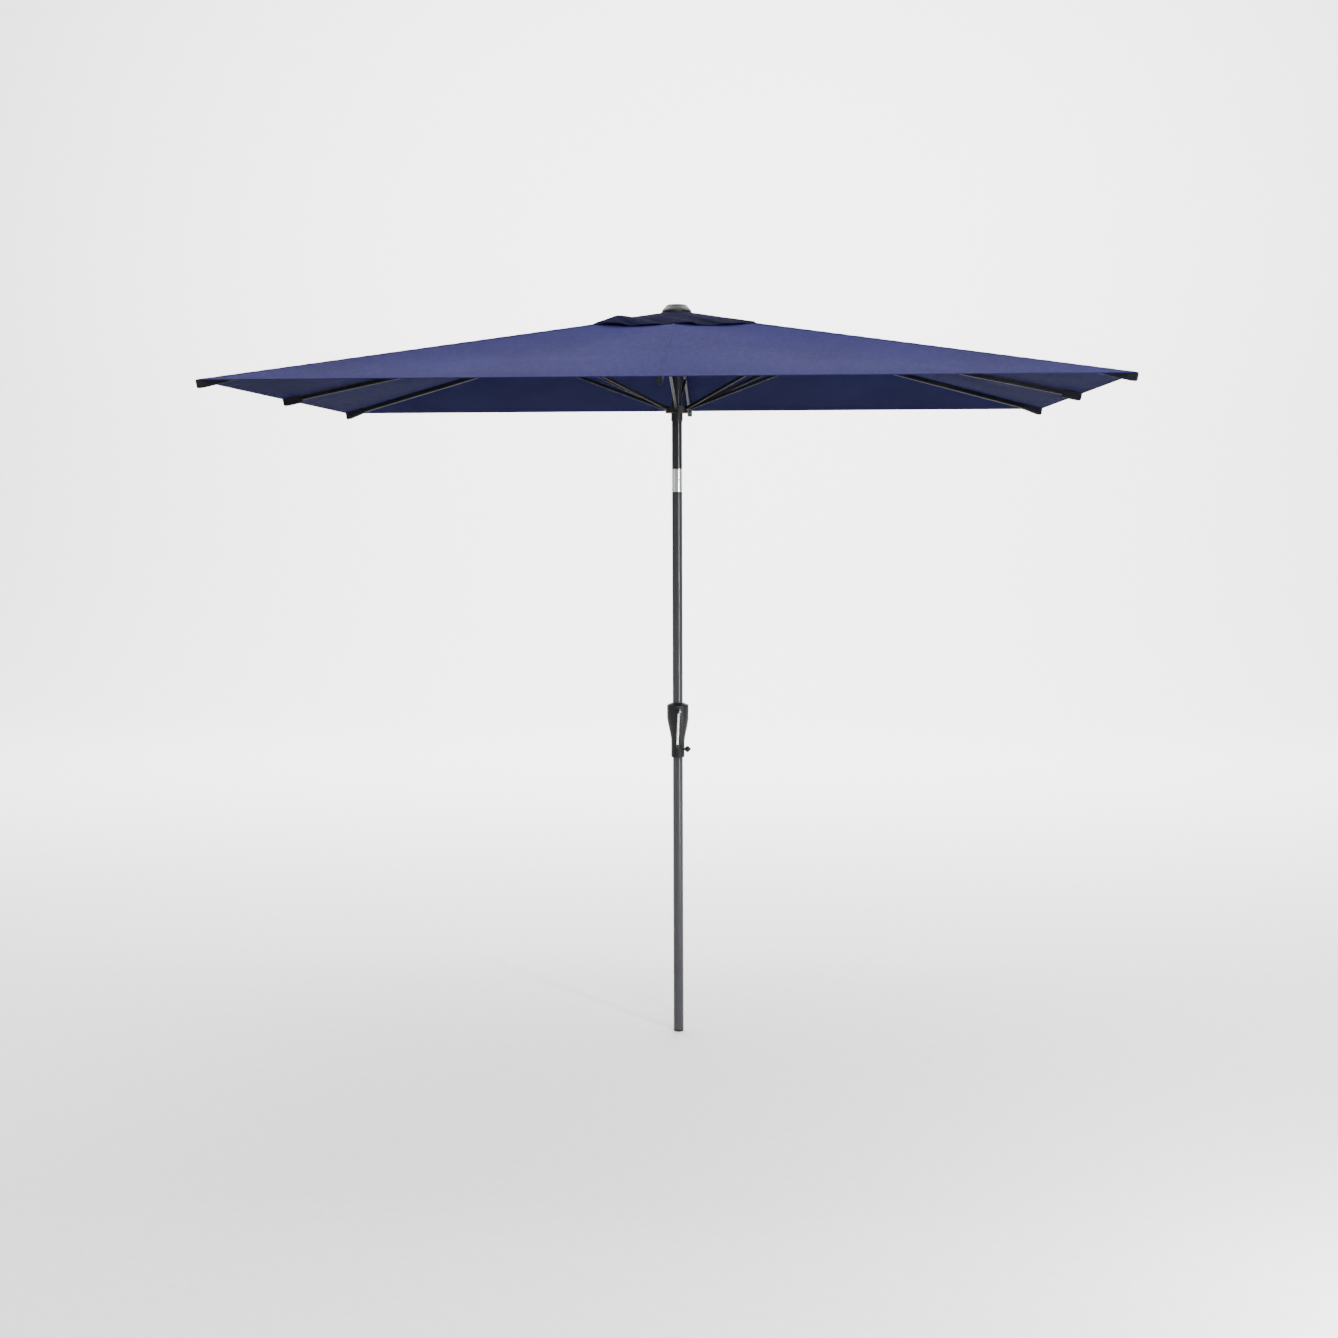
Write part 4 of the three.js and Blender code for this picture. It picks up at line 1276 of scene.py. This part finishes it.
    def knob(self) -> None:
        """Make the round knob that spins on its stem."""
        hinge = Vector(JOINTS["knob_fold"]["pos_m"])
        axis = Vector(JOINTS["knob_spin"]["axis"])
        low = 5.8 * MM
        profile = [(2.6 * MM, low), (5.4 * MM, low), (6 * MM, low + 0.6 * MM)]
        profile += [(12 * MM * math.sin(a), 15.4 * MM - 9.4 * MM * math.cos(a))
                    for a in (math.radians(38 + 9 * k) for k in range(13))]
        profile += [(5.4 * MM, 25.3 * MM), (2.6 * MM, 25.6 * MM)]
        make("knob_ball", along(hinge, hinge + axis, profile, 56), Finish.GLOSS, "knob",
             ("knob_grip",))


# ---------------------------------------------------------------- frame fittings


@dataclass
class FrameFittings:
    """Rivets at the struts' upper ends, on the ribs' lugs."""

    head_r: float = 3.6 * MM
    head_height: float = 1.4 * MM
    strut_half: float = 4.5 * MM

    def build(self) -> None:
        """Make the rivet heads of every strut."""
        for spoke in SPOKES:
            joint = JOINTS[f"strut_{spoke.side}_fold"]
            lug, side = Vector(joint["pos_m"]), Vector(joint["axis"])
            heads = []
            for way in (1, -1):
                start = lug + side * way * (self.strut_half - 0.3 * MM)
                outline = dome(self.head_r, self.head_height + 0.3 * MM)
                heads.append(along(start, start + side * way, outline, 20))
            make(f"strut_rivets_{spoke.side}", joined(*heads), Finish.STEEL, f"strut_{spoke.side}")


def dress_frame() -> None:
    """Give every CAD part that stays visible its own finish."""
    starts = {"rib_": Finish.FRAME, "strut_": Finish.FRAME, "lift_cord": Finish.CORD}
    names = {
        Finish.STEEL: ("hub_ring", "pulley_pin", "tilt_pin", "crank_shaft", "brake_spring", "button_spring",
                       "lower_pole_screw", "middle_pole_screw"),
        Finish.HOUSING: ("top_hub", "runner", "cord_spool", "lift_pulley", "finial_seat", "knob_stem"),
    }
    for finish, nodes in names.items():
        for name in nodes:
            wear(name, finish)
    for name in NODES:
        for start, finish in starts.items():
            if name.startswith(start):
                wear(name, finish)


def wear(node: str, finish: Finish) -> None:
    """Put a finish on a CAD node."""
    slots = NODES[node].data.materials
    slots.clear()
    slots.append(material(finish))
    LOG.info("%s: frame part in %s", node, finish.value.name)


# ---------------------------------------------------------------- studio


@dataclass(frozen=True)
class Softbox:
    """A rectangular lamp in the studio."""

    name: str
    place: tuple[float, float, float]
    aim: tuple[float, float, float]
    width: float
    height: float
    power: float

    def build(self) -> None:
        """Add the lamp, turned towards its aim."""
        data = bpy.data.lights.new(self.name, "AREA")
        data.shape = "RECTANGLE"
        data.energy, data.size, data.size_y = self.power, self.width, self.height
        lamp = bpy.data.objects.new(self.name, data)
        lamp.location = self.place
        lamp.rotation_euler = (Vector(self.aim) - Vector(self.place)).to_track_quat("-Z", "Y").to_euler()
        bpy.context.scene.collection.objects.link(lamp)


@dataclass
class Studio:
    """White paper sweep, soft lights and the camera."""

    focal_mm: float = 46.89
    place: tuple[float, float, float] = (0.3578, -6.3694, 1.949)
    down: float = 0.092
    left: float = 0.0608
    roll: float = 0.0033

    def build(self) -> None:
        """Set up the floor, the lights and the camera."""
        self.sweep()
        self.lights()
        self.camera()

    def sweep(self) -> None:
        """Make the floor and the backdrop in one curve."""
        back, radius, wide, tall = 9.0, 4.0, 30.0, 16.0
        line = [(-30.0, 0.0), (back, 0.0)]
        line += [(back + radius * math.sin(a), radius - radius * math.cos(a))
                 for a in (math.pi / 2 * k / 24 for k in range(1, 25))]
        line.append((back + radius, tall))
        points = [Vector((x, y, z)) for x in (-wide, wide) for y, z in line]
        n = len(line)
        faces = [(k, n + k, n + k + 1, k + 1) for k in range(n - 1)]
        floor = make("paper_sweep", (points, faces), Finish.PAPER, "")

    def lights(self) -> None:
        """Add the key, the overhead panel, the pole's two strips and the backdrop and floor washes."""
        world = bpy.data.worlds.new("studio")
        bpy.context.scene.world = world
        world.use_nodes = True
        sky = world.node_tree.nodes["Background"]
        sky.inputs["Color"].default_value = (1, 1, 1, 1)
        sky.inputs["Strength"].default_value = 0.55
        for lamp in (
                Softbox("key", (1.6, -4.4, 4.9), (0, -0.2, 2.3), 2.2, 1.4, 260.0),
                Softbox("overhead", (0.0, -0.6, 4.7), (0, 0, 2.4), 3.6, 2.4, 60.0),
                Softbox("strip_right", (2.5, -2.8, 1.3), (0, 0, 1.3), 0.14, 2.5, 150.0),
                Softbox("strip_left", (-3.2, -1.6, 1.3), (0, 0, 1.3), 0.3, 2.3, 6.0),
                Softbox("backdrop_wash", (0.0, 5.2, 7.5), (0, 12.5, 3.2), 16.0, 2.0, 4200.0),
                Softbox("floor_wash", (0.0, 3.0, 7.4), (0, 2.0, 0), 14.0, 5.0, 1500.0)):
            lamp.build()

    def camera(self) -> None:
        """Add the camera, level with the canopy's underside and looking a little down."""
        data = bpy.data.cameras.new("camera")
        data.lens, data.sensor_width = self.focal_mm, 36.0
        eye = bpy.data.objects.new("camera", data)
        eye.location = self.place
        eye.rotation_euler = (math.pi / 2 - self.down, self.roll, self.left)
        bpy.context.scene.collection.objects.link(eye)
        bpy.context.scene.camera = eye


def main() -> None:
    """Build the umbrella and its studio."""
    logging.basicConfig(level=logging.INFO, format="%(message)s")
    Studio().build()
    for part in (Pole(), TiltJoint(), Crank(), Head(), Canopy(), VentFlap(), TipPockets(), FrameFittings()):
        part.build()
    dress_frame()


if __name__ == "__main__":
    main()
